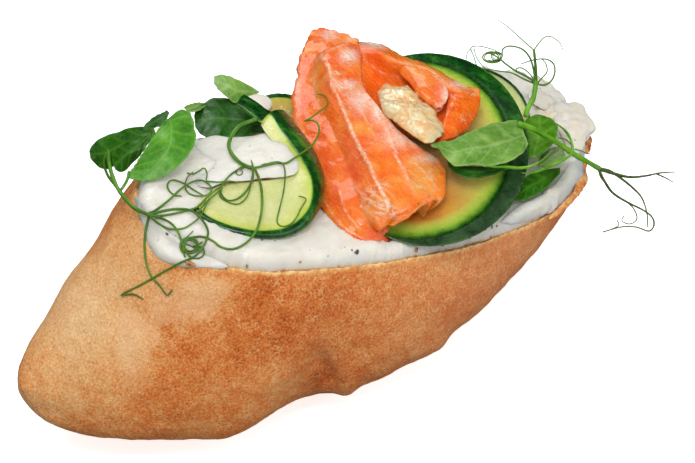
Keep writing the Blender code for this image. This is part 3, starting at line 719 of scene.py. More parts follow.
def make_leaf(name, dark, mid, light, bloom, vein_tone):
    k = Look(name, 0.4, Subsurface_Weight=0.12, Subsurface_Scale=0.001, Subsurface_Radius=(0.4, 1.0, 0.2), Specular_IOR_Level=0.3)
    vein, edge, side = k.mask("vein"), k.mask("edge"), k.mask("side")
    c = k.ramp(k.noise(4.5, 4.0, 0.6), [(0.3, dark), (0.55, mid), (0.78, light)])
    c = k.mix(k.math("MULTIPLY", k.span(k.noise(2.2, 5.0, 0.7), 0.5, 0.75), k.math("MULTIPLY", k.mask("bloom"), 0.7)), c, bloom)
    net = k.span(k.cells(1.3, "DISTANCE_TO_EDGE"), 0.0, 0.09, 1.0, 0.0)
    c = k.mix(k.math("MULTIPLY", net, 0.13), c, vein_tone)
    c = k.mix(k.math("MULTIPLY", vein, 0.42), c, vein_tone)
    c = k.mix(k.math("MULTIPLY", edge, 0.35), c, vein_tone)
    c = k.mix(k.math("MULTIPLY", side, 0.35), c, bloom)
    n = k.bump(k.noise(0.8, 3.0, 0.6), 0.06, 0.6)
    n = k.bump(k.cells(1.3, "DISTANCE_TO_EDGE"), 0.10, 0.4, n)
    return k.end(c, k.span(k.noise(2.0, 3.0), 0.3, 0.7, 0.3, 0.5), n)


def make_stem(name, a, b, c2):
    k = Look(name, 0.4, Subsurface_Weight=0.2, Subsurface_Scale=0.001, Subsurface_Radius=(0.5, 1.0, 0.3))
    c = k.ramp(k.noise(5.0, 3.0, 0.6), [(0.3, a), (0.7, b)])
    c = k.mix(k.span(k.mask("along"), 0.75, 1.0), c, c2)
    return k.end(c, None, k.bump(k.noise(0.6, 2.0, 0.5, ((0, 0, 0), (1, 1, 1))), 0.05, 0.5))


def make_fleck(name, dark, light):
    k = Look(name, 0.5)
    return k.end(k.ramp(k.noise(0.6, 3.0, 0.6), [(0.3, dark), (0.7, light)]), None, k.bump(k.noise(0.4, 2.0), 0.1, 0.7))


CRUST, CRUMB, CREAM, SALMON, CITRUS, CUKE = make_crust(), make_crumb(), make_cream(), make_salmon(), make_citrus(), make_cucumber()
LEAF = make_leaf("pea_leaf", srgb(46, 112, 12), srgb(74, 146, 26), srgb(110, 172, 54), srgb(110, 160, 92), srgb(150, 194, 96))
LEAF_DEEP = make_leaf("pea_leaf_deep", srgb(18, 72, 2), srgb(34, 98, 4), srgb(74, 134, 22), srgb(60, 112, 42), srgb(110, 166, 52))
LEAF_END = make_leaf("pea_leaf_end", srgb(42, 100, 6), srgb(72, 134, 14), srgb(112, 164, 40), srgb(96, 146, 60), srgb(150, 188, 80))
LEAF_DARK = make_leaf("pea_leaf_dark", srgb(16, 62, 8), srgb(30, 88, 16), srgb(60, 122, 34), srgb(74, 122, 70), srgb(96, 146, 70))
LEAF_PALE = make_leaf("pea_leaf_pale", srgb(76, 130, 34), srgb(108, 156, 58), srgb(150, 186, 92), srgb(150, 184, 120), srgb(186, 208, 138))
STEM = make_stem("pea_stem", srgb(76, 146, 16), srgb(132, 190, 50), srgb(92, 146, 26))
TENDRIL = make_stem("pea_tendril", srgb(50, 98, 6), srgb(98, 144, 30), srgb(96, 112, 26))
STEM_DARK = make_stem("pea_stem_dark", srgb(44, 104, 12), srgb(94, 150, 38), srgb(74, 116, 24))
TENDRIL_OLIVE = make_stem("pea_tendril_olive", srgb(46, 70, 12), srgb(86, 108, 32), srgb(84, 88, 26))
HERB = make_fleck("herb_fleck", srgb(58, 50, 54), srgb(122, 106, 112))
CRUMB_BITS = make_fleck("crust_crumb", srgb(150, 88, 44), srgb(222, 170, 108))


# ---- bread -----------------------------------------------------------------------
def blobs(p, table):
    """Sum of soft spots ((x, y, z), (rx, ry, rz), amount)."""
    out = np.zeros(len(p))
    for ctr, rad, amt in table:
        q = (p - np.array(ctr)) / np.array(rad)
        out += amt * np.exp(-(q ** 2).sum(-1))
    return out


# small swellings of the outline, in sheet marks and mm
SWELLS = [((50, 418), (30, 22), 0.7), ((24, 356), (16, 30), 0.5), ((92, 246), (22, 34), -0.9), ((222, 434), (24, 14), 0.9),
          ((430, 350), (26, 14), 0.9), ((332, 386), (10, 8), 0.9)]


def build_bread():
    N, K = 330, 300
    x = NOSE_X + (TIP_X - NOSE_X) * (0.5 - 0.5 * np.cos(np.pi * np.arange(1, N) / N))
    a = 2 * np.pi * (np.arange(K) + 0.5) / K
    X, A = np.meshgrid(x, a, indexing="ij")
    P = loaf(X, A)
    n = normals_of(np.concatenate([P, P[:, :1]], 1))[:, :-1]
    ctr = np.stack([X, section(X)[4], section(X)[3] + (section(X)[2] - section(X)[3]) * MID], -1)
    n = np.where(((P - ctr) * n).sum(-1, keepdims=True) < 0, -n, n)
    fade = smooth(0.4, 4.0, P[..., 2])
    fine = 0.34 * fbm(P, 15.0, 2, 1) + 0.13 * fbm(P, 4.2, 2, 2) + 0.055 * fbm(P, 1.5, 2, 3)
    P = P + n * (fine * fade)[..., None]
    # the pinch in the near side: a valley running down to the sole and the ridge beside it
    sa, sb = on_sheet(P)
    near = smooth(-0.7, -0.1, n @ BACK)
    d, t = to_line(sa, sb, [(312, 340), (322, 362), (331, 382), (337, 400)])
    pinch = -1.3 * np.exp(-(d / 1.5) ** 2) * smooth(0.0, 0.5, t) * smooth(1.0, 0.6, t)
    pinch = pinch + 1.25 * np.exp(-((sa - 347) / 12) ** 2 - ((sb - 390) / 24) ** 2) + 0.5 * np.exp(-((sa - 440) / 10) ** 2 - ((sb - 342) / 8) ** 2)
    P = P + n * (pinch * near)[..., None]
    side = smooth(-0.75, -0.2, n @ BACK) * smooth(0.75, 0.2, n @ BACK)
    swell = np.zeros(X.shape)
    for (ca, cb), (ra, rb), amt in SWELLS:
        swell += amt * np.exp(-((sa - ca) / ra) ** 2 - ((sb - cb) / rb) ** 2)
    P = P + n * (swell * side)[..., None]
    P[..., 2] = np.maximum(P[..., 2], SOLE_CUT + 0.02 * fbm(P, 3.0, 1, 4))
    tip_yc = BOW * ((TIP_X - 45.0) / 60.0) ** 2
    V = np.concatenate([P.reshape(-1, 3), [[NOSE_X, BOW * (70.0 / 60.0) ** 2, NOSE_H]],
                        [[TIP_X, tip_yc, SOLE_LIFT + (CROWN_H - SOLE_LIFT) * 0.3]]])
    R = N - 1
    ids = np.arange(R * K).reshape(R, K)
    nx = np.roll(ids, -1, 1)
    F = np.stack([ids[:-1], nx[:-1], nx[1:], ids[1:]], -1).reshape(-1, 4).tolist()
    F += [(int(ids[0, k]), int(nx[0, k]), R * K) for k in range(K)] + [(int(ids[-1, k]), int(nx[-1, k]), R * K + 1) for k in range(K)]
    me = bpy.data.meshes.new("loaf")
    me.from_pydata(V.tolist(), [], F)
    bm = bmesh.new()
    bm.from_mesh(me)
    bmesh.ops.bisect_plane(bm, geom=bm.verts[:] + bm.edges[:] + bm.faces[:], dist=1e-4,
                           plane_co=Vector(CUT_P), plane_no=Vector(CUT_N), clear_outer=True)
    bmesh.ops.remove_doubles(bm, verts=[v for v in bm.verts if v.is_boundary], dist=0.05)
    bm.verts.ensure_lookup_table()
    rim = {}
    for e in bm.edges:
        if e.is_boundary:
            i, j = e.verts[0].index, e.verts[1].index
            rim.setdefault(i, []).append(j)
            rim.setdefault(j, []).append(i)
    start = next(iter(rim))
    loop, prev, cur = [start], None, start
    while True:
        nxt = [q for q in rim[cur] if q != prev]
        prev, cur = cur, nxt[0]
        if cur == start:
            break
        loop.append(cur)
    V = np.array([v.co[:] for v in bm.verts])
    F = [[v.index for v in f.verts] for f in bm.faces]
    bm.free()
    bpy.data.meshes.remove(me)
    # the torn upper edge of the crust
    h = height(V)
    near = np.exp(-(h / 0.8) ** 2)
    V = V + (near * (0.22 * fbm(V, 1.6, 2, 5) + 0.12 * fbm(V, 6.0, 1, 2)))[:, None] * CUT_N
    lp = np.array(loop)
    c = V[lp].mean(0)
    rings = []
    base = len(V)
    rr = [0.992, 0.98, 0.965, 0.945, 0.92, 0.89, 0.85, 0.8, 0.72, 0.6, 0.45, 0.3, 0.15]
    extra = []
    for r in rr:
        q = c + (V[lp] - c) * r
        q = q - ((height(q) + 0.55 * smooth(1.0, 0.97, r)) * 1.0)[:, None] * CUT_N + (0.35 * fbm(q, 1.5, 3, 1))[:, None] * CUT_N
        extra.append(q)
        rings.append(np.arange(base, base + len(lp)))
        base += len(lp)
    V = np.concatenate([V] + extra + [[c - 0.5 * CUT_N]])
    prev = lp
    crust_faces = len(F)
    for r in rings:
        a2, b2 = np.roll(prev, -1), np.roll(r, -1)
        F += np.stack([prev, a2, b2, r], -1).tolist()
        prev = r
    b2 = np.roll(prev, -1)
    F += [(int(prev[k]), int(b2[k]), base) for k in range(len(prev))]
    mat_of = np.zeros(len(F), np.int32)
    mat_of[crust_faces:] = 1
    h = height(V)
    drift = np.stack([2.6 * fbm(V, 8.0, 3, 0), 2.6 * fbm(V, 8.0, 3, 2), 2.6 * fbm(V, 8.0, 3, 4)], -1)
    sa, sb = on_sheet(V + 0.6 * drift)
    near = smooth(-8.0, 8.0, (V - np.array([50.0, 0.0, 26.0])) @ BACK)
    front = np.zeros(len(V))
    for (ca, cb), (ra, rb), amt in BROWNING_AND_SHADE:
        front += amt * np.exp(-((sa - ca) / ra) ** 2 - ((sb - cb) / rb) ** 2)
    pale = np.zeros(len(V))
    ragged = fbm(V, 5.5, 4, 3)
    for (ca, cb), (ra, rb), turn in PALE:
        c, q = math.cos(turn), math.sin(turn)
        u, w = (sa - ca) * c + (sb - cb) * q, (sb - cb) * c - (sa - ca) * q
        pale = np.maximum(pale, smooth(1.15, 0.85, np.sqrt((u / ra) ** 2 + (w / rb) ** 2) + 0.42 * ragged))
    # near-side browning, with painted shade darkening the pinch valley
    masks = {
        "toast": np.clip(0.65 + (1 - near) * blobs(V + drift, TOAST) + near * (front - 0.08 * pale), 0.0, 0.95),
        "pink": np.clip(blobs(V + drift, PINK), 0, 1),
        "pale": pale * near,
        "rim": smooth(-0.9, -0.15, h + 0.25 * fbm(V, 1.2, 2, 3)),
    }
    return put("bread_loaf", V, F, [CRUST, CRUMB], masks, "bread_crust", ("bread",), mat_of)


# where the oven browned the crust more (+) or less (-): over the whole loaf, and on its near side in sheet marks; the
# near-side spot at (322, 378) is painted shade in the pinch valley
TOAST = [
    ((-16.0, 6.0, 34.0), (16.0, 18.0, 14.0), -0.44),
    ((12.0, 15.0, 46.5), (9.0, 9.0, 6.0), -0.30),
    ((24.0, 27.0, 36.0), (30.0, 12.0, 14.0), -0.12),
    ((60.0, 30.0, 20.0), (20.0, 12.0, 12.0), 0.06),
]
BROWNING_AND_SHADE = [
    ((70, 325), (62, 75), -0.38), ((150, 235), (34, 34), -0.30), ((118, 282), (40, 36), -0.16), ((205, 292), (40, 22), -0.26),
    ((133, 345), (26, 32), -0.14), ((40, 405), (30, 22), -0.14), ((190, 352), (30, 24), 0.06), ((272, 318), (44, 42), 0.16), ((170, 412), (70, 26), -0.01),
    # the spot at (322, 378) below is painted shade in the pinch valley, not browning
    ((240, 280), (18, 10), -0.08), ((300, 374), (26, 16), -0.04), ((322, 378), (14, 16), 0.30), ((372, 372), (40, 16), 0.05), ((268, 378), (40, 20), -0.10),
    ((350, 290), (60, 24), 0.04), ((450, 268), (70, 26), -0.11), ((536, 240), (24, 18), -0.16), ((400, 340), (50, 24), -0.06), ((246, 352), (24, 20), 0.08),
]
PALE = [((136, 342), (21, 33), -0.25), ((204, 294), (30, 22), -0.15), ((168, 306), (20, 15), 0.2)]
PINK = [((70.0, -22.0, 22.0), (36.0, 20.0, 20.0), 1.0)]

build_bread()

# ---- toppings: shared shapes ---------------------------------------------------------
def ring_faces(R, K, cap0=None, cap1=None, base=0):
    ids = base + np.arange(R * K).reshape(R, K)
    nx = np.roll(ids, -1, 1)
    F = np.stack([ids[:-1], nx[:-1], nx[1:], ids[1:]], -1).reshape(-1, 4).tolist()
    for cap, row in ((cap0, 0), (cap1, R - 1)):
        if cap is not None:
            F += [(int(ids[row, k]), int(nx[row, k]), int(cap)) for k in range(K)]
    return F


def slice_solid(name, mid, e1, e2, rings, through, warm=(), bloom=0.0, seeds=8, pale=0.0, **kw):
    """Cucumber slice: its face spans half axes e1, e2 about mid; rings are
    (shift, scale along e1, scale along e2) of the peel behind the face, then the back face."""
    K = 220
    ang = 2 * np.pi * np.arange(K) / K
    ca, sa = np.cos(ang), np.sin(ang)
    n = np.cross(e1, e2)
    n /= np.linalg.norm(n)
    if n @ BACK < 0:
        n = -n
    V, ring, peel, seed = [], [], [], []

    def seedy(x, y):
        """Pale seeds lying in three chambers."""
        out = np.zeros_like(x)
        for c in range(3):
            for j in range(seeds):
                t = 2.1 * c + 0.5 + (j - (seeds - 1) / 2) * 0.22
                r = 0.34 + 0.16 * ((j * 7 + c * 3) % 5) / 4
                cx, cy = r * math.cos(t), r * math.sin(t)
                u = ((x - cx) * math.cos(t) + (y - cy) * math.sin(t)) / 0.085
                w = (-(x - cx) * math.sin(t) + (y - cy) * math.cos(t)) / 0.032
                out = np.maximum(out, np.exp(-(u * u + w * w) ** 2))
        return out

    def face(shift, s1, s2, sign, order):
        for r in order:
            x, y = r * ca, r * sa
            p = mid + shift + (s1 * x)[:, None] * e1 + (s2 * y)[:, None] * e2
            sd = seedy(x, y)
            dome = 0.35 * (1 - r ** 2) + 0.16 * fbm(p, 5.0, 2, 1) * (1 - r ** 8) + 0.12 * sd - 0.3 * r ** 30
            V.append(p + (sign * dome)[:, None] * n)
            ring.append(np.full(K, r))
            peel.append(np.zeros(K))
            seed.append(sd)
    rr = np.concatenate([np.linspace(0.03, 0.9, 30), [0.925, 0.945, 0.962, 0.976, 0.988, 0.996, 1.0]])
    face(np.zeros(3), 1.0, 1.0, 1.0, rr)
    ctrl = np.array([list(np.zeros(3)) + [1.0, 1.0]] + [list(s) + [a, b] for s, a, b in rings])
    for w in np.linspace(0, 1, 17)[1:-1]:
        c = spline(ctrl, np.array([w]))[0]
        p = mid + c[:3] + (c[3] * ca)[:, None] * e1 + (c[4] * sa)[:, None] * e2
        out = p - (mid + c[:3])
        out /= np.linalg.norm(out, axis=1, keepdims=True)
        p = p + (0.10 * fbm(np.stack([ca * 30, sa * 30, 0 * ca + w], 1), 4.0, 3, 2))[:, None] * out
        V.append(p)
        ring.append(np.full(K, 1.0))
        peel.append(np.full(K, smooth(0.0, 0.10, w)))
        seed.append(np.zeros(K))
    last = ctrl[-1]
    face(last[:3], last[3], last[4], -1.0, rr[::-1])
    R = len(V)
    V = np.concatenate(V + [[mid + 0.4 * n], [mid + last[:3] - 0.4 * n]])
    F = ring_faces(R, K, R * K, R * K + 1)
    a, b = on_sheet(V)
    # painted reflection: the orange cast of the salmon on the flesh, from the listed spots
    wm = np.zeros(len(V))
    for (ca_, cb_), (ra, rb), amt in warm:
        wm += amt * np.exp(-((a - ca_) / ra) ** 2 - ((b - cb_) / rb) ** 2)
    # the bloom is laid on the peel's lower side: waxy bloom with painted sheen
    q = V - mid
    low = smooth(-0.2, 0.9, (q @ RIGHT * 0.6 - q @ UP * 0.8) / np.linalg.norm(e2))
    masks = {"ring": np.concatenate(ring + [[0, 0]]), "peel": np.concatenate(peel + [[0, 0]]),
             "seed": np.maximum(np.concatenate(seed + [[0, 0]]), pale * (np.concatenate(ring + [[0, 0]]) < 0.97)), "warm": np.clip(wm, 0, 1), "bloom": np.clip(bloom * low, 0, 1)}
    return put(name, V, F, CUKE, masks, "cucumber_flesh", **kw)


def pillow(name, outline, base, front, back, mats, K=96, R=20, power=0.5, rough=None, edge_rough=0.0, masks=None, **kw):
    """Closed lump filling an outline on the sheet, swelling front mm toward
    the sheet's front and back mm behind the depth given by base(a, b)."""
    P = even(np.asarray(outline, float), K, True)
    c = P.mean(0)
    if edge_rough:
        P = c + (P - c) * (1 + edge_rough * fbm(np.stack([P[:, 0], P[:, 1], 0 * P[:, 0]], 1), 12.0, 3, 1))[:, None]
    rr = np.sin(np.linspace(0, 1, R + 1)[1:] * np.pi / 2)

    def shell(sign, amount, order):
        out = []
        for r in order:
            q = c + (P - c) * r
            d = base(q[:, 0], q[:, 1]) + sign * amount * max(0.0, 1 - r * r) ** power
            out.append(sheet(q[:, 0], q[:, 1], d))
        return out
    V = shell(1, front, rr) + shell(-1, back, rr[:-1][::-1])
    n = len(V)
    d0 = float(base(c[0], c[1]))
    V = np.concatenate(V + [[sheet(c[0], c[1], d0 + front)], [sheet(c[0], c[1], d0 - back)]])
    if rough is not None:
        ctr = V.mean(0)
        o = V - ctr
        o /= np.maximum(np.linalg.norm(o, axis=1, keepdims=True), 1e-6)
        V = V + rough(V)[:, None] * o
    F = ring_faces(n, K, n * K, n * K + 1)
    mk = {k: m(V) for k, m in (masks or {}).items()}
    return put(name, V, F, mats, mk, **kw)


# ---- cucumber -------------------------------------------------------------------------
# the orange spots listed on these slices are painted reflection of the salmon
mid = lay(415, 146, 8.2)
slice_solid("cucumber_big", mid, lay(510, 144, 10.4) - mid, lay(413, 60, 12.8) - mid,
            [(3.0 * RIGHT + 0.1 * UP - 1.5 * BACK, 1.035, 1.085), (3.8 * RIGHT - 0.1 * UP - 3.0 * BACK, 0.97, 1.0)], None,
            warm=[((400, 205), (62, 34), 1.0), ((452, 150), (22, 50), 0.35), ((450, 88), (50, 36), 0.55)], bloom=1.0,
            nodes=("cucumber_right",))
mid = lay(468, 124, 5.0)
slice_solid("cucumber_behind", mid, lay(531, 124, 6.0) - mid, lay(468, 67, 8.4) - mid,
            [(0.1 * RIGHT + 0.2 * UP - 1.2 * BACK, 1.0, 1.0), (0.3 * RIGHT + 0.2 * UP - 2.4 * BACK, 0.97, 0.98)], None,
            bloom=0.6, pale=1.0, nodes=("cucumber_right_back",))
mid = lay(277, 120, 4.6)
slice_solid("cucumber_small", mid, lay(309, 118, 5.2) - mid, lay(277, 96, 7.2) - mid,
            [(0.3 * UP - 0.6 * BACK, 1.03, 1.06), (0.2 * UP - 1.5 * BACK, 0.97, 0.98)], None,
            warm=[((272, 110), (30, 20), 0.35)], bloom=0.2, nodes=("cucumber_mid_back",))


def build_twist():
    # outer rim a, b, h; ridge where peel meets flesh; inner edge of the flesh
    T = np.array([
        (244, 94, 10.4, 236, 104, 11.0, 238, 106, 10.2), (257, 102, 10.5, 248, 113, 11.1, 251, 115, 10.2),
        (270, 111, 10.5, 260, 121, 11.1, 263, 124, 10.2), (283, 110, 10.2, 270, 114, 11.2, 261, 125, 10.2),
        (294, 122, 10.0, 280, 128, 11.0, 268, 136, 10.0), (308, 140, 9.8, 293, 146, 10.8, 279, 150, 9.4),
        (318, 158, 9.3, 303, 161, 10.4, 286, 164, 8.8), (324, 178, 8.4, 311, 177, 9.6, 282, 176, 8.2),
        (323, 197, 7.2, 313, 194, 8.4, 270, 180, 7.6), (316, 214, 5.8, 308, 210, 7.0, 258, 181, 7.0),
        (304, 228, 4.6, 298, 221, 5.6, 248, 182, 6.4), (284, 237, 3.6, 282, 229, 4.6, 238, 182, 6.0),
        (257, 238, 3.3, 258, 231, 4.2, 228, 183, 5.6), (232, 234, 3.2, 235, 227, 4.1, 218, 186, 5.2),
        (214, 228, 3.2, 217, 221, 4.0, 209, 192, 4.8), (200, 221, 3.2, 205, 214, 3.9, 202, 199, 4.4),
        (191, 211, 3.3, 198, 207, 3.8, 198, 204, 4.0)], float)
    t = np.linspace(0, 1, 150)
    G = spline(T, t)
    O, B, I = (lay(G[:, k], G[:, k + 1], G[:, k + 2]) for k in (0, 3, 6))
    rows, ring, peel = [], [], []
    for i in range(len(t)):
        o, b, c = O[i], B[i], I[i]
        f = b - o
        nb = np.cross(O[min(i + 1, 149)] - O[max(i - 1, 0)], f)
        nb /= max(np.linalg.norm(nb), 1e-9)
        nb = nb if nb @ BACK > 0 else -nb
        deep = 0.5 * RIGHT - 0.4 * UP - 1.6 * BACK
        i2 = c + deep
        o2 = o + 0.25 * deep
        pts, rg, pl = [], [], []
        for u in np.linspace(0, 1, 9)[:-1]:
            pts.append(o + f * u + nb * 0.35 * math.sin(math.pi * min(u, 0.92)))
            rg.append(1.0)
            pl.append(1.0 - smooth(0.90, 0.97, u))
        L = max(np.linalg.norm(c - b), 1e-6)
        for u in np.concatenate([[0, 0.012, 0.03, 0.055], np.linspace(0.09, 1, 22)]):
            p = b + (c - b) * u
            dip = -0.10 * math.sin(math.pi * u) * min(L / 4, 1.0)
            pts.append(p + nb * (dip + 0.05 * float(fbm(p[None], 3.0, 2, 2)[0])))
            rg.append(float(np.clip(0.975 - 0.22 * u * L, 0.15, 0.975)))
            pl.append(0.0)
        for u in (0.25, 0.5, 0.75):
            pts.append(c + (i2 - c) * u + 0.12 * (c - b) / L)
            rg.append(0.2)
            pl.append(0.0)
        for u in np.linspace(0, 1, 14)[:-1]:
            pts.append(i2 + (o2 - i2) * u)
            rg.append(u * 0.9)
            pl.append(0.0)
        for u in (0.0, 0.5):
            pts.append(o2 + (o - o2) * u - 0.0 * nb)
            rg.append(1.0)
            pl.append(1.0)
        rows.append(np.array(pts))
        ring.append(rg)
        peel.append(pl)
    K, R = len(rows[0]), len(rows)
    V = np.concatenate(rows + [[rows[0].mean(0)], [rows[-1].mean(0)]])
    F = ring_faces(R, K, R * K, R * K + 1)
    put("cucumber_twist", V, F, CUKE, {"ring": np.concatenate([np.ravel(ring), [0.5, 0.5]]), "peel": np.concatenate([np.ravel(peel), [0, 0]]),
                                       "seed": np.zeros(len(V)), "warm": np.zeros(len(V)), "bloom": np.zeros(len(V))},
        "cucumber_flesh", ("cucumber_left",))


build_twist()

# ---- salmon ------------------------------------------------------------------------------
SURFACE = hill([
    (310, 34, 16.0), (340, 39, 17.0), (366, 44, 16.6), (303, 52, 14.8), (333, 56, 16.4), (364, 60, 15.8),
    (298, 81, 12.8), (330, 82, 15.2), (361, 84, 14.4), (295, 108, 10.8), (337, 107, 13.6), (380, 107, 13.6),
    (297, 135, 9.0), (350, 136, 12.2), (404, 136, 12.2), (304, 160, 7.4), (370, 158, 10.9), (435, 156, 11.2),
    (312, 185, 5.9), (379, 183, 9.6), (446, 180, 10.0), (319, 208, 4.1), (381, 203, 8.5), (444, 199, 8.8),
    (329, 226, 3.4), (367, 220, 6.5), (406, 213, 7.0), (341, 238, 2.8), (366, 234, 4.4), (387, 230, 4.6),
    (358, 247, 2.2), (378, 247, 2.4), (394, 240, 2.8)])
FAT_BROAD = [(326, 72), (332, 86), (339, 98), (347, 119), (358, 145), (367, 160), (376, 181), (388, 206), (382, 226)]
FAT_NEXT = [(357, 84), (368, 96), (379, 107), (388, 131), (396, 154), (407, 178), (417, 199)]
BROAD_CREASE = [(314, 40), (320, 58)] + FAT_BROAD[:-1] + [(396, 228), (402, 250)]
NEXT_CREASE = [(345, 40), (352, 66)] + FAT_NEXT + [(428, 224), (438, 250)]
FAT_LEFT = [(319, 113), (329, 137), (341, 163), (348, 181), (358, 208), (373, 230)]
FAT_FAINT = [[(343, 75), (356, 100), (366, 120), (377, 142)], [(326, 126), (342, 164), (349, 180)],
             [(398, 126), (412, 142), (424, 160), (436, 182)], [(352, 128), (372, 168), (384, 190)]]


def strands(a, b, lines, width, seed=0):
    out = np.zeros(np.shape(a))
    for k, line in enumerate(lines):
        d, t = to_line(a, b, line)
        w = width * (0.75 + 0.5 * np.abs(np.sin(9 * t + k)))
        out = np.maximum(out, np.exp(-(d / w) ** 2) * smooth(-0.02, 0.1, t) * smooth(1.02, 0.9, t))
    return out


FEATHER = (0.87 * RIGHT + 0.5 * UP) / np.linalg.norm(0.87 * RIGHT + 0.5 * UP)


def salmon_rough(p):
    """Flaking across the flesh, drawn out along the feather lines."""
    q = np.stack([p @ FEATHER / 3.2, p @ np.cross(FEATHER, BACK) / 0.8, p @ BACK / 2.0], -1)
    return 0.12 * fbm(p, 2.6, 3, 4) + 0.03 * fbm(q, 1.0, 2, 1)


def beside(a, b, line):
    """Distance in mm from a line, positive to its right when it runs down the sheet."""
    L = even(np.asarray(line, float), 40)
    d, t = to_line(a, b, line)
    k = np.clip((t * 39).astype(int), 0, 38)
    e = L[k + 1] - L[k]
    cross = e[..., 0] * (b - L[k][..., 1]) - e[..., 1] * (a - L[k][..., 0])
    return -np.sign(cross) * d


def spread_of(a, b, spots):
    out = np.zeros(np.shape(a))
    for (ca, cb), (ra, rb), amt in spots:
        out = np.maximum(out, amt * np.exp(-((a - ca) / ra) ** 2 - ((b - cb) / rb) ** 2))
    return out


def fillet(name, rows, lift, thick, pitch=0.32, rim=0.7, deep=(), glow=(), rose=(), frost=(), milk=(), ridges=(), creases=(), wave=0.25, lean=-1.0, ragged=2.2, **kw):
    G, u, v = lines_patch(rows, pitch, rim)
    G = G.copy()
    mm = np.linalg.norm(np.diff(G[..., :2], axis=1), axis=-1).sum(1).mean() * FIFTH, np.linalg.norm(np.diff(G[..., :2], axis=0), axis=-1).sum(0).mean() * FIFTH
    rag = ragged * smooth(1.8, 0.0, np.minimum(np.minimum(u, 1 - u) * mm[0], np.minimum(v, 1 - v) * mm[1]))
    q = np.stack([G[..., 0] * FIFTH, G[..., 1] * FIFTH, 0 * u], -1)
    G[..., 0] += rag * fbm(q, 1.8, 2, 0)
    G[..., 1] += rag * fbm(q, 1.8, 2, 3)
    a, b = G[..., 0], G[..., 1]
    h = SURFACE(a, b) if G.shape[-1] == 2 else G[..., 2]
    h = h + (lift(u, v) if callable(lift) else lift)
    for line, left, right, reach in creases:
        s = beside(a, b, line)
        q = np.sqrt(np.minimum(np.abs(s), reach) ** 2 + 0.16) - 0.4
        h = h + np.where(s < 0, left, right) * q
    P0 = lay(a, b, h)
    up = wave * fbm(P0, 9.0, 2, 3)
    fat = np.zeros(a.shape)
    for line, wide, rise, amt in ridges:
        d, t = to_line(a, b, line)
        ends = smooth(-0.02, 0.12, t) * smooth(1.02, 0.85, t)
        wander = 0.5 * fbm(P0, 2.6, 3, 2)
        up = up + rise * np.exp(-(d / (wide * 1.6)) ** 2) * ends
        fat = np.maximum(fat, amt * np.exp(-((d + 0.3 * wander) / (wide * (0.8 + 0.5 * wander))) ** 2) * ends)
    M = lay(a, b, h + up)
    edge = np.minimum(np.minimum(u, 1 - u), np.minimum(v, 1 - v))
    # painted highlight: bright torn edges and the listed glint spots; the deeper-orange spots are painted shade, the
    # glowing spots painted light
    fr = np.maximum(spread_of(a, b, frost), 0.6 * smooth(0.04, 0.0, edge) * (0.6 + 0.4 * fbm(P0, 3.0, 2, 4)))
    masks = {"fat": fat, "frost": fr, "deep": spread_of(a, b, deep), "glow": spread_of(a, b, glow), "rose": spread_of(a, b, rose),
             "milk": spread_of(a, b, milk)}
    return slab(name, M, thick(u, v) if callable(thick) else thick, SALMON, rim, {k: np.clip(m, 0, 1) for k, m in masks.items()},
                salmon_rough, lean, slot="salmon_flesh", **kw)


# In the fillets below, the deeper-orange spots are painted shade, the yellow-orange glowing spots painted light through
# thin flesh, the frosty spots painted glints, and the milky spots partly painted highlight.
fillet("salmon_under", [
    [(310, 31), (322, 27), (334, 30), (347, 33), (359, 38)], [(303, 43), (318, 43), (333, 44), (348, 46), (361, 50)],
    [(297, 62), (314, 62), (331, 62), (348, 64), (364, 68)], [(293, 84), (312, 84), (329, 84), (346, 86), (362, 90)],
    [(291, 108), (309, 109), (328, 111), (346, 114), (366, 118)], [(295, 135), (314, 137), (333, 140), (352, 143), (374, 148)],
    [(303, 160), (322, 163), (341, 166), (360, 170), (380, 174)], [(312, 186), (330, 189), (348, 192), (366, 195), (386, 198)],
    [(321, 210), (338, 213), (354, 215), (371, 217), (390, 218)], [(333, 223), (348, 226), (362, 228), (376, 228), (392, 227)],
    [(347, 238), (358, 240), (369, 240), (381, 238), (394, 235)], [(359, 247), (368, 248), (377, 247), (386, 244), (394, 239)]],
    -1.0, 1.9, deep=[((322, 150), (11, 34), 0.95), ((334, 188), (11, 26), 0.95), ((384, 236), (14, 8), 0.9), ((362, 240), (18, 6), 0.4)],
    rose=[((302, 92), (10, 40), 0.4), ((330, 70), (18, 20), 0.35), ((346, 172), (8, 22), 0.6)], glow=[((350, 42), (14, 9), 0.6), ((342, 222), (14, 10), 0.4)],
    milk=[((330, 34), (9, 5), 0.7), ((298, 92), (3, 30), 0.3), ((352, 38), (6, 4), 0.4)],
    frost=[((328, 36), (16, 8), 0.8), ((318, 52), (10, 10), 0.4), ((298, 94), (4, 32), 0.8), ((345, 226), (14, 7), 0.6), ((372, 242), (18, 4), 0.5), ((306, 60), (5, 20), 0.4)],
    ridges=[([(352, 36), (345, 44), (328, 52)], 0.3, 0.05, 0.6), ([(306, 150), (322, 196), (343, 226), (370, 242)], 0.2, 0.05, 0.6),
            ([(330, 33), (322, 52), (310, 82)], 0.25, 0.05, 0.4), ([(338, 186), (346, 212), (362, 232)], 0.22, 0.1, 0.6)], nodes=("salmon_front",))

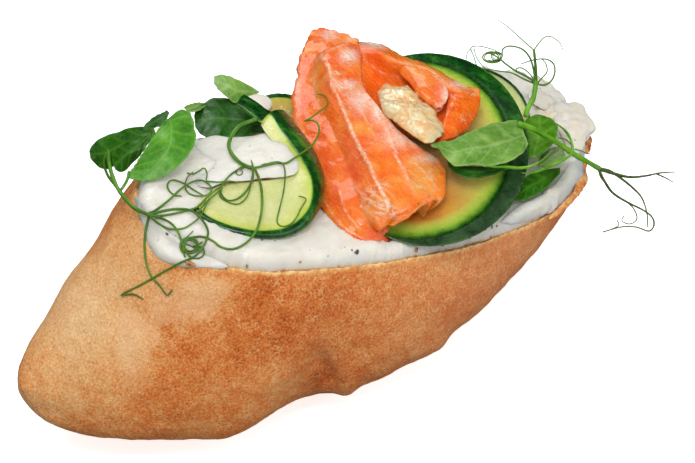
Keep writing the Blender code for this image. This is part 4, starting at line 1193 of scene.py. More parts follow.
fillet("salmon_over", [
    [(315, 60), (319, 52), (331, 45), (346, 41), (361, 44)], [(309, 76), (322, 68), (336, 61), (350, 57), (363, 61)],
    [(308, 94), (324, 90), (339, 85), (353, 81), (365, 85)], [(314, 107), (332, 108), (350, 105), (366, 102), (381, 108)],
    [(322, 121), (341, 124), (360, 122), (380, 122), (400, 130)], [(329, 138), (349, 142), (371, 142), (397, 143), (423, 148)],
    [(338, 160), (358, 163), (381, 165), (413, 163), (445, 163)], [(345, 180), (366, 184), (391, 186), (419, 184), (447, 181)],
    [(353, 200), (373, 205), (395, 207), (420, 204), (446, 196)],
    [(358, 209), (375, 213), (393, 213), (415, 209), (438, 203)], [(362, 217), (375, 221), (390, 221), (406, 216), (422, 207)],
    [(371, 228), (377, 229), (384, 227), (391, 222), (398, 215)], [(375, 233), (379, 233), (384, 230), (389, 225), (394, 218)]],
    lambda u, v: 0.6 - 1.72 * smooth(0.42, 0.0, u), lambda u, v: 1.9 - 0.95 * smooth(0.3, 0.0, u),
    milk=[((349, 56), (9, 7), 0.95), ((347, 85), (12, 5), 0.95), ((362, 101), (13, 12), 0.75), ((377, 110), (6, 14), 0.95), ((312, 82), (3, 26), 0.3),
          ((402, 138), (20, 9), 0.8), ((430, 158), (16, 5), 0.75), ((390, 126), (8, 8), 0.6)],
    deep=[((350, 172), (9, 22), 0.25)],
    rose=[((320, 84), (14, 28), 0.5), ((352, 156), (14, 30), 0.95), ((338, 66), (8, 12), 0.6), ((404, 140), (18, 12), 0.4)],
    glow=[((316, 92), (9, 34), 0.7), ((426, 180), (24, 28), 0.95), ((400, 200), (16, 14), 0.7), ((362, 127), (14, 7), 0.95), ((376, 206), (16, 18), 0.4), ((392, 168), (14, 14), 0.35), ((398, 142), (12, 8), 0.4)],
    frost=[((340, 68), (14, 20), 0.5), ((354, 96), (14, 12), 0.8), ((374, 108), (10, 14), 0.7), ((368, 152), (15, 18), 0.75), ((372, 196), (20, 20), 0.95), ((390, 210), (20, 9), 0.9),
           ((424, 180), (20, 22), 0.65), ((408, 146), (18, 10), 0.5), ((364, 222), (8, 10), 0.9), ((430, 200), (20, 5), 0.8), ((320, 96), (5, 14), 0.3)],
    ridges=[(FAT_BROAD, 0.40, 0.30, 0.95), (FAT_NEXT, 0.32, 0.22, 0.95), (FAT_LEFT, 0.24, 0.08, 0.6),
            ([(320, 54), (327, 64), (332, 76), (339, 88), (346, 97)], 0.5, 0.15, 0.9),
            ([(352, 42), (334, 48), (320, 56), (312, 67), (309, 80), (310, 94), (317, 108), (326, 124)], 0.26, 0.05, 0.75),
            ([(342, 165), (348, 182), (354, 198), (363, 216), (372, 230)], 0.42, 0.05, 0.85),
            ([(370, 92), (378, 104), (386, 118), (398, 130), (414, 142), (440, 159)], 0.85, 0.4, 0.7),
            ([(352, 184), (372, 204), (392, 213)], 0.28, 0.12, 0.85), ([(364, 188), (384, 202), (396, 209)], 0.24, 0.10, 0.8), ([(378, 184), (396, 198)], 0.22, 0.08, 0.7),
            ([(358, 204), (380, 222)], 0.26, 0.1, 0.8), ([(366, 212), (392, 214), (410, 207)], 0.26, 0.1, 0.8), ([(404, 165), (418, 180)], 0.18, 0.06, 0.6),
            ([(412, 160), (428, 176), (438, 192)], 0.2, 0.08, 0.7), ([(406, 182), (424, 188)], 0.18, 0.06, 0.6), ([(420, 198), (438, 188)], 0.18, 0.06, 0.6)] +
           [(q, 0.16, 0.08, 0.6) for q in FAT_FAINT],
    creases=[(BROAD_CREASE, -0.03, 0.0, 4.5), (NEXT_CREASE, 0.0, -0.20, 8.0)], ragged=0.5)

# back fold: a standing wall with a hollow before it; a, b, h
WALL = [
    [(356, 41, 14.6), (371, 41, 15.6), (388, 46, 15.6), (406, 56, 15.4), (424, 62, 15.4), (440, 70, 15.6), (458, 80, 15.8), (478, 91, 15.6)],
    [(359, 48, 16.2), (372, 50, 16.6), (386, 57, 16.6), (400, 62, 16.4), (416, 66, 16.4), (432, 72, 16.6), (446, 84, 16.6), (468, 97, 16.2)],
    [(361, 64, 14.0), (371, 68, 13.4), (382, 74, 13.0), (395, 78, 12.8), (410, 82, 12.8), (425, 88, 13.2), (440, 98, 13.8), (463, 110, 14.2)],
    [(363, 82, 13.4), (372, 88, 12.4), (383, 95, 12.0), (396, 101, 12.0), (410, 106, 12.2), (424, 112, 12.6), (440, 120, 13.0), (460, 126, 13.2)],
    [(366, 96, 13.6), (374, 104, 13.0), (384, 113, 12.6), (396, 122, 12.4), (409, 128, 12.4), (423, 132, 12.4), (438, 136, 12.6), (454, 138, 12.8)]]
fillet("salmon_wall", WALL, 0.0, 2.2, deep=[((382, 84), (20, 24), 1.0), ((366, 70), (10, 20), 0.8), ((412, 84), (16, 14), 0.8)], glow=[((404, 62), (18, 8), 0.9), ((428, 76), (30, 16), 0.95)],
       milk=[((374, 44), (14, 5), 0.9), ((464, 84), (18, 5), 0.7), ((358, 46), (6, 8), 0.5)], frost=[((374, 43), (14, 5), 0.95), ((425, 64), (22, 4), 0.6), ((462, 84), (20, 5), 0.8), ((404, 58), (14, 4), 0.4)],
       ridges=[([(386, 57), (400, 62), (416, 66), (432, 72), (446, 84)], 0.3, 0.0, 0.5)], ragged=1.0, nodes=("salmon_back",))
fillet("salmon_lip", [
    [(386, 54, 14.2), (400, 60, 15.9), (416, 65, 16.7), (432, 71, 17.0), (444, 81, 17.0), (449, 92, 16.6), (447, 102, 16.0)],
    [(388, 60, 13.6), (400, 67, 15.3), (413, 73, 16.2), (427, 80, 16.6), (438, 90, 16.6), (444, 100, 16.2), (443, 106, 15.8)],
    [(391, 68, 12.6), (400, 76, 14.0), (410, 85, 14.9), (420, 95, 15.4), (430, 102, 15.6), (436, 107, 15.6), (440, 108, 15.5)]],
    0.0, 1.8, glow=[((420, 74), (24, 10), 0.6)], deep=[((412, 84), (14, 12), 0.5)], rose=[((442, 98), (8, 12), 0.9)], milk=[((446, 96), (6, 14), 0.7)],
    frost=[((447, 94), (5, 14), 0.9), ((424, 68), (20, 3), 0.6), ((436, 106), (8, 4), 0.7)],
    ridges=[([(430, 71), (444, 82), (448, 92), (445, 102), (436, 108)], 0.4, 0.1, 0.8)], ragged=0.7)
fillet("salmon_lobe", [
    [(446, 87, 15.6), (463, 84, 15.8), (481, 87, 15.8)], [(447, 100, 15.6), (464, 102, 15.9), (482, 100, 15.2)],
    [(444, 112, 15.2), (461, 116, 15.2), (479, 113, 14.2)], [(441, 126, 14.4), (456, 128, 14.2), (471, 127, 13.2)],
    [(441, 141, 13.4), (450, 140, 13.0), (459, 136, 12.8)]],
    0.0, 2.6, deep=[((464, 110), (22, 22), 0.8)], glow=[((472, 92), (14, 6), 0.7)], frost=[((466, 91), (14, 4), 0.95), ((464, 120), (12, 8), 0.6), ((456, 104), (8, 8), 0.4)],
    ridges=[([(449, 96), (466, 93), (479, 95)], 0.25, 0.1, 0.7), ([(456, 91), (452, 104), (446, 118)], 0.2, 0.05, 0.6)], ragged=1.0)

# ---- citrus ----------------------------------------------------------------------------------
CIT = hill([(377, 97, 6.2), (389, 84, 2.5), (414, 88, 4.0), (436, 107, 8.0), (445, 127, 12.0), (439, 140, 16.0), (423, 149, 19.0),
            (404, 136, 15.5), (386, 118, 11.5), (412, 116, 10.0)])


PULP_R = np.random.RandomState(8)
PULP_C = lay(410, 115, 9.0) + PULP_R.uniform(-1, 1, (900, 3)) * np.array([10.0, 10.0, 10.0])
PULP_H = PULP_R.uniform(-1, 1, 900)
PULP_T = PULP_R.normal(size=(900, 3)) * 0.35


def pulp(p):
    """Broken pulp: index of the nearest crystal and how near its seam is."""
    d = np.linalg.norm(p[:, None] - PULP_C[None], axis=-1)
    o = np.argsort(d, axis=1)[:, :2]
    r = np.arange(len(p))
    return o[:, 0], d[r, o[:, 1]] - d[r, o[:, 0]]


def facets(p):
    k, gap = pulp(p)
    tilt = ((p - PULP_C[k]) * PULP_T[k]).sum(-1)
    return 0.10 * PULP_H[k] + 0.14 * tilt + 0.26 * smooth(0.0, 0.75, gap) + 0.66 * fbm(p, 4.2, 3, 4) + 0.20 * fbm(p, 1.6, 2, 1) - 0.15


pillow("citrus_morsel", [(377, 97), (381, 89), (387, 84), (395, 86), (403, 85), (411, 88), (417, 93), (419, 99), (426, 104), (433, 109), (438, 118), (444, 127),
                         (445, 134), (440, 138), (432, 141), (424, 142), (415, 137), (406, 131), (397, 124), (389, 118), (384, 111), (380, 104)],
       lambda a, b: CIT(a, b) + 1.0, 3.4, 4.5, CITRUS, K=190, R=60, rough=facets, edge_rough=0.03, slot="citrus_pulp", nodes=("citrus",),
       masks={"cell": lambda V: 0.5 + 0.5 * PULP_H[pulp(V)[0]], "seam": lambda V: np.exp(-(pulp(V)[1] / 0.22) ** 2)})


# ---- leaves ------------------------------------------------------------------------------------
def blade(name, rows, values, look, place=sheet, thick=0.34, teeth=0.0, cup=0.0, lobes=5, slope=0.9, bloom=0.6, slot="pea_leaf", **kw):
    """Leaf between left and right edge points (base to tip); values give its
    depth or height at places; veins, waves and toothed edges follow its length."""
    T = np.asarray(rows, float).reshape(len(rows), 2, 2)
    wide = np.linalg.norm(T[:, 1] - T[:, 0], axis=-1).max() * FIFTH
    l = np.linalg.norm(np.diff(T.mean(1), axis=0), axis=-1).sum() * FIFTH
    u, v = marks(wide, 0.28, 0.16), marks(l, 0.28, 0.16)
    L, R = spline(T[:, 0], v), spline(T[:, 1], v)
    s = u[None] * 2 - 1
    vv = v[:, None] + 0 * s
    if teeth:
        w = np.linalg.norm(R - L, axis=-1)[:, None]
        wig = np.abs(((vv * l / 1.5) % 1.0) - 0.35) * teeth * 2
        bite = (1 - wig * np.abs(s) ** 6 / np.maximum(w * FIFTH, 1.0))
    else:
        bite = 1.0
    mid = (L + R) / 2
    half = (R - L) / 2
    sb = s * bite
    G = mid[:, None] + half[:, None] * sb[..., None]
    a, b = G[..., 0], G[..., 1]
    val = hill(values)(a, b) + cup * s * s * np.sin(np.pi * np.clip(vv, 0, 1))
    ss = s + 0 * vv
    vein = np.exp(-(ss * wide / 2 / 0.22) ** 2)
    x = vv * lobes - slope * np.abs(ss)
    side = np.exp(-(((x + 0.5) % 1.0 - 0.5) * l / lobes / 0.2) ** 2) * smooth(0.0, 0.15, np.abs(ss)) * smooth(1.0, 0.7, np.abs(ss))
    vein = np.maximum(vein * smooth(1.0, 0.8, vv), 0.6 * side)
    M = place(a, b, val)
    n = normals_of(M)
    ripple = 0.22 * fbm(M, 4.0, 2, 3) - 0.10 * vein + 0.08 * np.cos(2 * np.pi * x) * np.abs(ss)
    M = M + n * ripple[..., None]
    edge = smooth(0.86, 1.0, np.maximum(np.abs(ss), np.abs(vv * 2 - 1)))
    return slab(name, M, thick, look, 0.16, {"vein": vein, "edge": edge, "bloom": np.full(a.shape, bloom)}, slot=slot, **kw)


blade("leaf_left_long", [(154, 128, 156, 134), (146, 127, 148, 141), (136, 127, 140, 148), (126, 129, 130, 156), (116, 132, 119, 163),
                         (107, 135, 109, 169), (99, 139, 100, 168), (93, 144, 94, 163), (89, 151, 90, 158)],
      [(156, 131, 24), (90, 154, 21.5), (120, 130, 21.8), (112, 168, 23.0), (125, 148, 24.2)], LEAF_DEEP, bloom=0.2, nodes=("leaf_a",))
blade("leaf_left_fold", [(150, 132, 152, 137), (140, 135, 146, 147), (130, 140, 139, 157), (121, 145, 131, 165), (115, 150, 125, 171), (112, 156, 119, 172), (112, 162, 115, 169)],
      [(151, 134, 25.5), (113, 165, 25.5), (126, 143, 24.6), (134, 160, 26.4), (130, 152, 27.0)], LEAF_DEEP, bloom=0.1, cup=-0.5)
blade("leaf_left_front", [(162, 124, 166, 121), (157, 131, 180, 110), (152, 138, 190, 112), (147, 146, 195, 127), (142, 153, 196, 141), (138, 159, 189, 155),
                          (134, 165, 178, 167), (130, 170, 163, 177), (127, 174, 148, 181), (128, 178, 137, 181)],
      [(165, 121, 26), (132, 178, 30.5), (192, 118, 24.5), (196, 140, 26.5), (176, 168, 30), (148, 144, 28), (168, 150, 29.6)], LEAF,
      teeth=0.35, lobes=7, bloom=0.9, nodes=("leaf_b",))
blade("leaf_left_tip", [(143, 127, 146, 129), (149, 121, 154, 128), (156, 116, 161, 126), (162, 113, 166, 120), (167, 110, 169, 112)],
      [(145, 128, 20.5), (168, 111, 18.5), (158, 120, 20.0), (150, 120, 19.0)], LEAF_DARK, bloom=0.9, nodes=("leaf_c",))
blade("leaf_behind_stalk", [(184, 107, 188, 112), (190, 105, 194, 111), (197, 103, 200, 109), (204, 103, 206, 105)],
      [(186, 109, 5.4), (205, 104, 5.8), (194, 108, 5.9)], LEAF_PALE, place=lay)
blade("leaf_mid", [(270, 128, 266, 132), (258, 117, 258, 133), (247, 107, 247, 136), (235, 101, 237, 138), (225, 98, 227, 139), (214, 98, 217, 139),
                   (204, 102, 207, 137), (197, 108, 200, 133), (194, 116, 195, 126)],
      [(268, 130, 6.2), (195, 120, 5.0), (230, 99, 6.8), (232, 137, 5.4), (212, 118, 6.2), (245, 120, 6.6)], LEAF_DARK, place=lay, bloom=0.9, lobes=6,
      nodes=("leaf_d",))
blade("leaf_mid_back", [(260, 92, 256, 94), (250, 86, 246, 98), (238, 80, 236, 103), (229, 76, 227, 97), (220, 75, 219, 90), (214, 77, 214, 83)],
      [(258, 92, 7.2), (214, 79, 8.2), (238, 80, 9.0), (236, 101, 7.4), (230, 88, 8.6)], LEAF_PALE, place=lay, bloom=0.4, lobes=5, nodes=("leaf_e",))
blade("leaf_right", [(522, 126, 528, 145), (516, 121, 523, 153), (506, 121, 513, 160), (494, 123, 500, 165), (482, 127, 487, 167), (472, 131, 474, 165), (463, 135, 465, 166),
                     (453, 140, 456, 166), (444, 141, 448, 160), (436, 143, 440, 150), (430, 144, 432, 147)],
      [(526, 134, 14.0), (431, 145, 14.2), (494, 123, 14.0), (488, 166, 13.4), (460, 137, 14.8), (460, 165, 13.8), (482, 146, 15.2), (515, 140, 14.8)],
      LEAF_PALE, place=lay, bloom=1.0, teeth=0.2, lobes=6, nodes=("leaf_f",))
# this leaf lies in the shadow of leaf_right and takes the dark leaf material: painted shade
blade("leaf_right_shade", [(508, 164, 508, 169), (496, 165, 498, 173), (484, 166, 484, 177), (470, 166, 468, 178), (458, 164, 457, 174), (447, 161, 448, 166)],
      [(508, 167, 11.4), (447, 164, 11.2), (480, 166, 11.8), (480, 177, 11.0), (476, 171, 11.8)], LEAF_DARK, place=lay, nodes=("leaf_g",))
blade("leaf_right_end", [(529, 158, 537, 158), (523, 150, 547, 150), (521, 140, 555, 141), (521, 131, 558, 130), (524, 122, 555, 122), (531, 117, 548, 118), (537, 115, 542, 116)],
      [(533, 158, 7.8), (540, 116, 8.2), (522, 138, 8.2), (558, 134, 8.0), (540, 136, 9.0)], LEAF_END, place=lay, bloom=0.15, nodes=("leaf_h",))
blade("leaf_right_pale", [(538, 165, 541, 167), (541, 157, 552, 166), (547, 150, 561, 161), (553, 147, 565, 155), (559, 147, 563, 149)],
      [(540, 166, 6.6), (562, 149, 6.8), (550, 160, 7.4)], LEAF_PALE, place=lay, bloom=0.9, lobes=6, nodes=("leaf_i",))
blade("leaf_right_low", [(560, 168, 560, 173), (548, 169, 553, 181), (537, 172, 544, 190), (527, 176, 534, 196), (521, 185, 524, 200), (514, 195, 516, 201)],
      [(560, 171, 4.8), (515, 198, 4.4), (535, 174, 5.6), (538, 194, 4.6), (535, 184, 5.6)], LEAF_DEEP, place=lay, bloom=0.1, lobes=6, nodes=("leaf_j",))


# ---- cream cheese ------------------------------------------------------------------------------
CREAM_C = (50.0, 0.5)
LUMPS = [((104.0, 10.0), 7.0, 3.2), ((104.5, -3.0), 6.0, 2.6), ((98.0, 17.0), 6.0, 2.2), ((109.0, 5.0), 4.0, 1.6),
         ((56.0, 8.0), 13.0, 6.5), ((70.0, 12.0), 12.0, 7.0), ((24.0, 10.0), 9.0, 3.0), ((12.0, -4.0), 8.0, 0.8)]


LUMPS += [(tuple(lay(272, 124, 1.0)[:2]), 6.0, 1.6), (tuple(lay(260, 112, 1.0)[:2]), 5.0, 1.5)]


def on_cut(x, y, h):
    return np.stack([x, y, CUT_Z - math.tan(CUT_TILT) * x], -1) + np.asarray(h)[..., None] * CUT_N


def cut_reach(a):
    lo, hi = np.zeros_like(a), np.full_like(a, 90.0)
    for _ in range(40):
        m = (lo + hi) / 2
        x, y = CREAM_C[0] + m * np.cos(a), CREAM_C[1] + m * np.sin(a)
        ok = in_loaf(on_cut(x, y, np.zeros_like(x)))
        lo, hi = np.where(ok, m, lo), np.where(ok, hi, m)
    return lo


def build_cream():
    arms = 720
    a = 2 * np.pi * np.arange(arms) / arms
    ring = np.stack([np.cos(a) * 40, np.sin(a) * 40, 0 * a], -1)
    reach = cut_reach(a)
    ea, eb = on_sheet(on_cut(CREAM_C[0] + reach * np.cos(a), CREAM_C[1] + reach * np.sin(a), 0 * a))
    over = smooth(290, 240, ea) * smooth(190, 210, eb) + 0.7 * smooth(566, 578, ea) * smooth(180, 160, eb)
    reach = reach - 0.5 + 1.2 * over + (0.3 + 0.12 * over) * fbm(ring, 5.0, 3, 2) + (0.12 + 0.2 * over) * fbm(ring, 1.2, 2, 4)
    r = np.concatenate([np.linspace(0.05, 0.90, 58), [0.915, 0.93, 0.945, 0.958, 0.969, 0.978, 0.985, 0.990, 0.994, 0.997, 1.0]])
    A, Rr = np.meshgrid(a, r)
    W = Rr * reach[None]
    x, y = CREAM_C[0] + W * np.cos(A), CREAM_C[1] + W * np.sin(A)
    base = on_cut(x, y, 0 * x)
    edge = (1 - Rr) * reach[None]
    lip = np.sqrt(np.clip(1 - (1 - np.clip(edge / 2.2, 0, 1)) ** 2, 0, 1))
    h = 2.9 * lip
    for (cx, cy), rad, up in LUMPS:
        h = h + up * np.exp(-((x - cx) ** 2 + (y - cy) ** 2) / rad ** 2) * lip
    end = smooth(86, 100, x)
    q = base + 0 * x[..., None]
    strokes = fbm(np.stack([(x + 0.4 * y) / 3.2, (y - 0.4 * x) * 1.0, 0 * x], -1), 3.6, 3, 1)
    h = h + lip * (0.45 * fbm(q, 9.0, 3, 0) + 0.28 * strokes + 0.07 * fbm(q, 1.4, 2, 3))
    h = h + lip * end * (1.1 * np.abs(fbm(q, 5.0, 3, 4)) + 0.35 * fbm(q, 2.0, 3, 2))
    tree = tree_of(["cucumber_*", "salmon_*", "citrus_*", "leaf_*"])
    free = np.full(h.shape, 99.0)
    up = Vector(CUT_N)
    flat = base.reshape(-1, 3)
    ff = free.ravel()
    for k in range(len(flat)):
        hit = tree.ray_cast(Vector(flat[k]), up, 30.0)
        if hit[0] is not None:
            ff[k] = hit[3]
    free = ff.reshape(h.shape)
    for _ in range(2):
        m = np.minimum(free, np.minimum(np.roll(free, 1, 1), np.roll(free, -1, 1)))
        m[1:] = np.minimum(m[1:], free[:-1])
        m[:-1] = np.minimum(m[:-1], free[1:])
        free = np.where(m < h + 0.5, np.maximum(m, free - 0.8), free)
    h = np.minimum(h, np.maximum(free + 0.25, 0.35))
    g = h.copy()
    for _ in range(3):
        g = 0.5 * g + 0.25 * (np.roll(g, 1, 1) + np.roll(g, -1, 1))
        g[1:-1] = 0.5 * g[1:-1] + 0.25 * (g[2:] + g[:-2])
    h = np.where(free < 12, g, h)
    P = on_cut(x, y, h)
    rim = on_cut(x[-1], y[-1], 0 * x[-1] - 0.5)
    under = on_cut(CREAM_C[0] + W[30] * np.cos(a), CREAM_C[1] + W[30] * np.sin(a), 0 * a - 0.9)
    V = np.concatenate([P.reshape(-1, 3), rim, under, on_cut(np.array([CREAM_C[0]]), np.array([CREAM_C[1]]), h[0].mean(keepdims=True)),
                        on_cut(np.array([CREAM_C[0]]), np.array([CREAM_C[1]]), np.array([-0.9]))])
    R = len(r) + 2
    F = ring_faces(R, arms, R * arms, R * arms + 1)
    sa, sb = on_sheet(V)
    butter = 0.9 * np.exp(-((sa - 549) / 12) ** 2 - ((sb - 113) / 7) ** 2) + 0.5 * smooth(0.9, 0.0, height(V))
    return put("cream_spread", V, F, CREAM, {"butter": np.clip(butter, 0, 1)}, "cream_cheese", ("cream_cheese",))


build_cream()


def cream_rough(p):
    return 0.16 * fbm(p, 4.0, 3, 1) + 0.04 * fbm(p, 1.2, 2, 3)


def dollop(name, outline, values, front, back, place=lay, rough=cream_rough, butter=0.0, **kw):
    """Cream lump on the sheet; values give heights above the cut (or depths)."""
    f = hill(values)

    def base(a, b):
        return depth(place(a, b, f(a, b)))
    return pillow(name, outline, base, front, back, CREAM, rough=rough, slot="cream_cheese",
                  masks={"butter": lambda V: np.clip(butter * (1 + 0.8 * fbm(V, 3.0, 2, 5)), 0, 1)}, **kw)


dollop("cream_smear", [(198, 142), (214, 136), (232, 137), (250, 136), (270, 134), (283, 142), (293, 152), (299, 162), (298, 171), (289, 176), (268, 178),
                       (246, 181), (226, 182), (210, 187), (196, 184), (189, 165)],
       [(198, 150, 4.6), (250, 140, 8.2), (285, 145, 10.0), (296, 165, 9.6), (225, 182, 6.0), (262, 180, 7.4), (285, 175, 8.9), (200, 182, 4.6), (240, 160, 7.2)],
       1.3, 2.6, K=150, R=34, power=0.42, edge_rough=0.03)
dollop("cream_dab", [(246, 98), (258, 94), (268, 97), (272, 104), (266, 112), (254, 110), (246, 104)],
       [(246, 100, 8.4), (270, 100, 8.4), (258, 110, 7.6)], 0.8, 1.4, K=60, R=14)



def curds(p):
    """Broken, curdled cream."""
    return 0.75 * fbm(p, 5.0, 2, 4) + 0.34 * fbm(p, 2.4, 2, 2) + 0.05 * fbm(p, 0.9, 2, 1)


dollop("cream_lump_0", [(553, 106), (560, 101), (570, 103), (579, 103), (586, 106), (587, 112), (591, 118), (593, 128), (588, 138), (584, 147), (580, 152), (576, 155), (571, 149),
                        (562, 138), (555, 126), (551, 115)],
       [(579, 104, 5.2), (593, 127, 5.4), (588, 152, 4.2), (560, 104, 5.6), (560, 135, 4.4), (575, 125, 6.0)], 1.5, 4.0, rough=curds, butter=0.22, K=150, R=40, power=0.42, edge_rough=0.04)
dollop("cream_lump_1", [(527, 88), (531, 80), (540, 78), (546, 80), (552, 83), (557, 90), (559, 99), (556, 106), (546, 109), (535, 105), (529, 97)],
       [(536, 80, 5.4), (552, 86, 5.6), (558, 98, 5.4), (545, 108, 5.2), (543, 95, 5.8)], 1.2, 3.5, rough=curds, butter=0.3, K=120, R=32, power=0.42, edge_rough=0.04)


def torn(p):
    """Broken crumb and crust."""
    return 0.36 * np.abs(fbm(p, 2.2, 3, 1)) + 0.26 * fbm(p, 0.9, 3, 3) - 0.12


def torn_edge(name, outline, values, front, back, toast, **kw):
    f = hill(values)
    pillow(name, outline, lambda a, b: depth(lay(a, b, f(a, b))), front, back, CRUST, rough=torn, slot="bread_crust", K=150, R=26, power=0.45, edge_rough=0.05,
           masks={"toast": lambda V: np.clip(toast + 0.45 * fbm(V, 2.6, 3, 2), 0.1, 0.95), "rim": lambda V: np.clip(0.12 + 0.8 * fbm(V, 1.5, 2, 4), 0, 0.7)}, **kw)


torn_edge("crust_torn_low", [(583, 158), (587, 164), (586, 172), (588, 180), (584, 188), (577, 197), (569, 206), (560, 214), (551, 219), (549, 217), (557, 211), (565, 204),
                             (573, 196), (579, 188), (583, 179), (584, 170), (583, 162)],
          [(583, 160, 1.4), (586, 180, 0.6), (576, 197, 0.4), (552, 217, 0.2), (579, 172, 1.6), (566, 199, 0.9)], 0.7, 1.5, 0.62)
torn_edge("crust_torn_high", [(587, 137), (591, 136), (592, 142), (590, 149), (587, 154), (584, 150), (585, 143)],
          [(588, 137, 0.9), (591, 143, 0.5), (586, 153, 0.5), (587, 146, 0.9)], 0.9, 1.6, 0.62)

def smear_on(name, out, inside, front, back, rough, butter=0.12):
    """Cream lying on the crust and the spread beneath an outline on the sheet."""
    under = tree_of(["bread_*", "cream_spread*"])
    P = np.array(list(out) + list(inside), float)
    d = seen_depth(under, P[:, 0], P[:, 1])
    P, d = P[~np.isnan(d)], d[~np.isnan(d)]
    pillow(name, out, hill(np.column_stack([P, d])), front, back, CREAM, K=150, R=24, power=0.4, rough=rough, edge_rough=0.02,
           masks={"butter": lambda V: np.clip(butter * (1 + 0.8 * fbm(V, 3.0, 2, 5)), 0, 1)}, slot="cream_cheese")


smear_on("cream_corner", [(134, 196), (136, 207), (140, 217), (144, 229), (147, 241), (151, 250), (158, 258), (168, 263), (180, 266), (193, 268), (206, 268), (218, 269), (228, 268),
                          (222, 262), (208, 257), (194, 248), (180, 240), (166, 230), (154, 218), (144, 205)],
         [(146, 222), (150, 234), (157, 246), (168, 254), (181, 258), (195, 262), (210, 264), (158, 230), (170, 243), (184, 250)], 1.1, 0.9,
         lambda p: 0.10 * fbm(p, 3.0, 3, 1), 0.05)
smear_on("cream_rim_right", [(508, 214), (518, 206), (532, 199), (546, 191), (557, 181), (566, 170), (573, 161), (582, 161), (584, 170), (581, 181), (575, 191), (565, 202), (553, 211),
                             (541, 216), (526, 221), (512, 224), (502, 222)],
         [(520, 213), (536, 207), (550, 199), (561, 189), (570, 178), (576, 168)], 1.5, 0.8,
         lambda p: 0.46 * fbm(p, 3.4, 3, 1) + 0.16 * np.abs(fbm(p, 1.3, 2, 2)), 0.0)

# ---- draping -----------------------------------------------------------------------------------
LAND = tree_of(["bread_*", "cream_*", "cucumber_*", "salmon_*", "citrus_*", "leaf_*"])


def drape(points, r, gap=0.15, lift=None, slope=0.8, soft=1.3, step=1.9):
    """Run of points that follows (a, b) or (a, b, lift) marks and rests on what lies below."""
    P = np.asarray(points, float)
    n = max(8, int(np.linalg.norm(np.diff(P[:, :2], axis=0), axis=1).sum() * 1.08 / step))
    Q = even(P, n)
    a, b = Q[:, 0], Q[:, 1]
    up = Q[:, 2] if Q.shape[1] > 2 else np.zeros(n)
    d = seen_depth(LAND, a, b)
    ok = ~np.isnan(d)
    if not ok.any():
        d[:] = 0.0
    else:
        d = np.interp(np.arange(n), np.flatnonzero(ok), d[ok])
    s = np.concatenate([[0], np.cumsum(np.hypot(np.diff(a), np.diff(b)) * FIFTH)])
    env = np.max(d[None] - slope * np.abs(s[:, None] - s[None]), axis=1)
    w = np.exp(-((s[:, None] - s[None]) / soft) ** 2)
    env = (w * env[None]).sum(1) / w.sum(1)
    env = np.maximum(env, d)
    w = np.exp(-((s[:, None] - s[None]) / 0.6) ** 2)
    env = (w * env[None]).sum(1) / w.sum(1)
    return sheet(a, b, env + r + gap + up)


def free_run(points, step=1.9):
    """Run through (a, b, depth) marks held in the air."""
    P = np.asarray(points, float)
    n = max(8, int(np.linalg.norm(np.diff(P[:, :2], axis=0), axis=1).sum() * 1.08 / step))
    Q = even(P, n)
    return sheet(Q[:, 0], Q[:, 1], Q[:, 2])


def coil(a, b, r0, r1, turns, start, squash=0.8, n=14):
    """Marks of a spiral on the sheet."""
    t = np.linspace(0, 1, int(n * abs(turns)) + 2)
    ang = start + 2 * np.pi * turns * t
    rr = r0 + (r1 - r0) * t
    return [(a + q * math.cos(w), b + squash * q * math.sin(w)) for q, w in zip(rr, ang)]


S = dict(slot="pea_stem")
LEFT_RUN = drape([(108, 150), (109, 163), (113, 178), (120, 192), (133, 207), (149, 215)], 0.5)
la, lb = on_sheet(LEFT_RUN)
fork = float(depth(LEFT_RUN[np.argmin(np.hypot(la - 119, lb - 192))]))
tube("stem_left_main", LEFT_RUN, 0.40, 0.36, STEM_DARK, 20, 0.1, ribs=0.07, nodes=("stem_left",), **S)
tube("stem_left_side", drape([(106, 152), (104, 164), (108, 176), (114, 184), (120, 192)], 0.3, 0.5), 0.26, 0.3, TENDRIL, 8, **S)
tube("stem_left_root", free_run([(129, 172, 30.0), (127, 180, 0.5 * fork + 15.2), (123, 187, fork), (119, 192, fork)]), 0.32, 0.28, STEM_DARK, 8, **S)
tube("stem_mid_main", drape([(256, 119), (248, 122), (239, 126), (231, 137), (229, 148), (236, 159), (246, 166), (253, 168)], 0.5), 0.38, 0.36, STEM_DARK, 20, 0.1, ribs=0.07,
     nodes=("stem_middle",), **S)
RIGHT_RUN = drape([(519, 124, 1.2), (526, 126, 1.2), (536, 130, 0.8), (546, 136, 0.6), (561, 145, 0.6), (577, 156, 0.5), (588, 162, 0.5), (600, 169, 0.5)], 0.6)
tube("stem_right_main", RIGHT_RUN, 0.60, 0.50, STEM, 24, 0.08, ribs=0.08, nodes=("stem_right",), **S)
tube("stem_right_two", drape([(486, 166, 0.3), (496, 167, 0.3), (507, 167, 0.3), (519, 168, 0.3), (531, 166, 0.3), (541, 161, 0.3), (548, 155, 0.3), (553, 150, 0.3)], 0.5, 0.3),
     0.56, 0.10, STEM, 20, 0.1, taper=0.45, ribs=0.07, **S)
tube("stem_right_three", drape([(522, 173), (530, 173), (541, 170), (555, 164), (568, 157), (573, 150), (571, 140), (566, 131), (557, 124)], 0.4, 0.3), 0.42, 0.16, STEM, 16, 0.1,
     taper=0.25, ribs=0.06, **S)
tube("stem_top_main", free_run([(526, 116, -11.0), (528, 108, -12.0), (533, 99, -13.4), (535, 90, -14.2), (536, 82, -15.0)]), 0.6, 0.5, STEM, 10, 0.1, nodes=("stem_top",), **S)

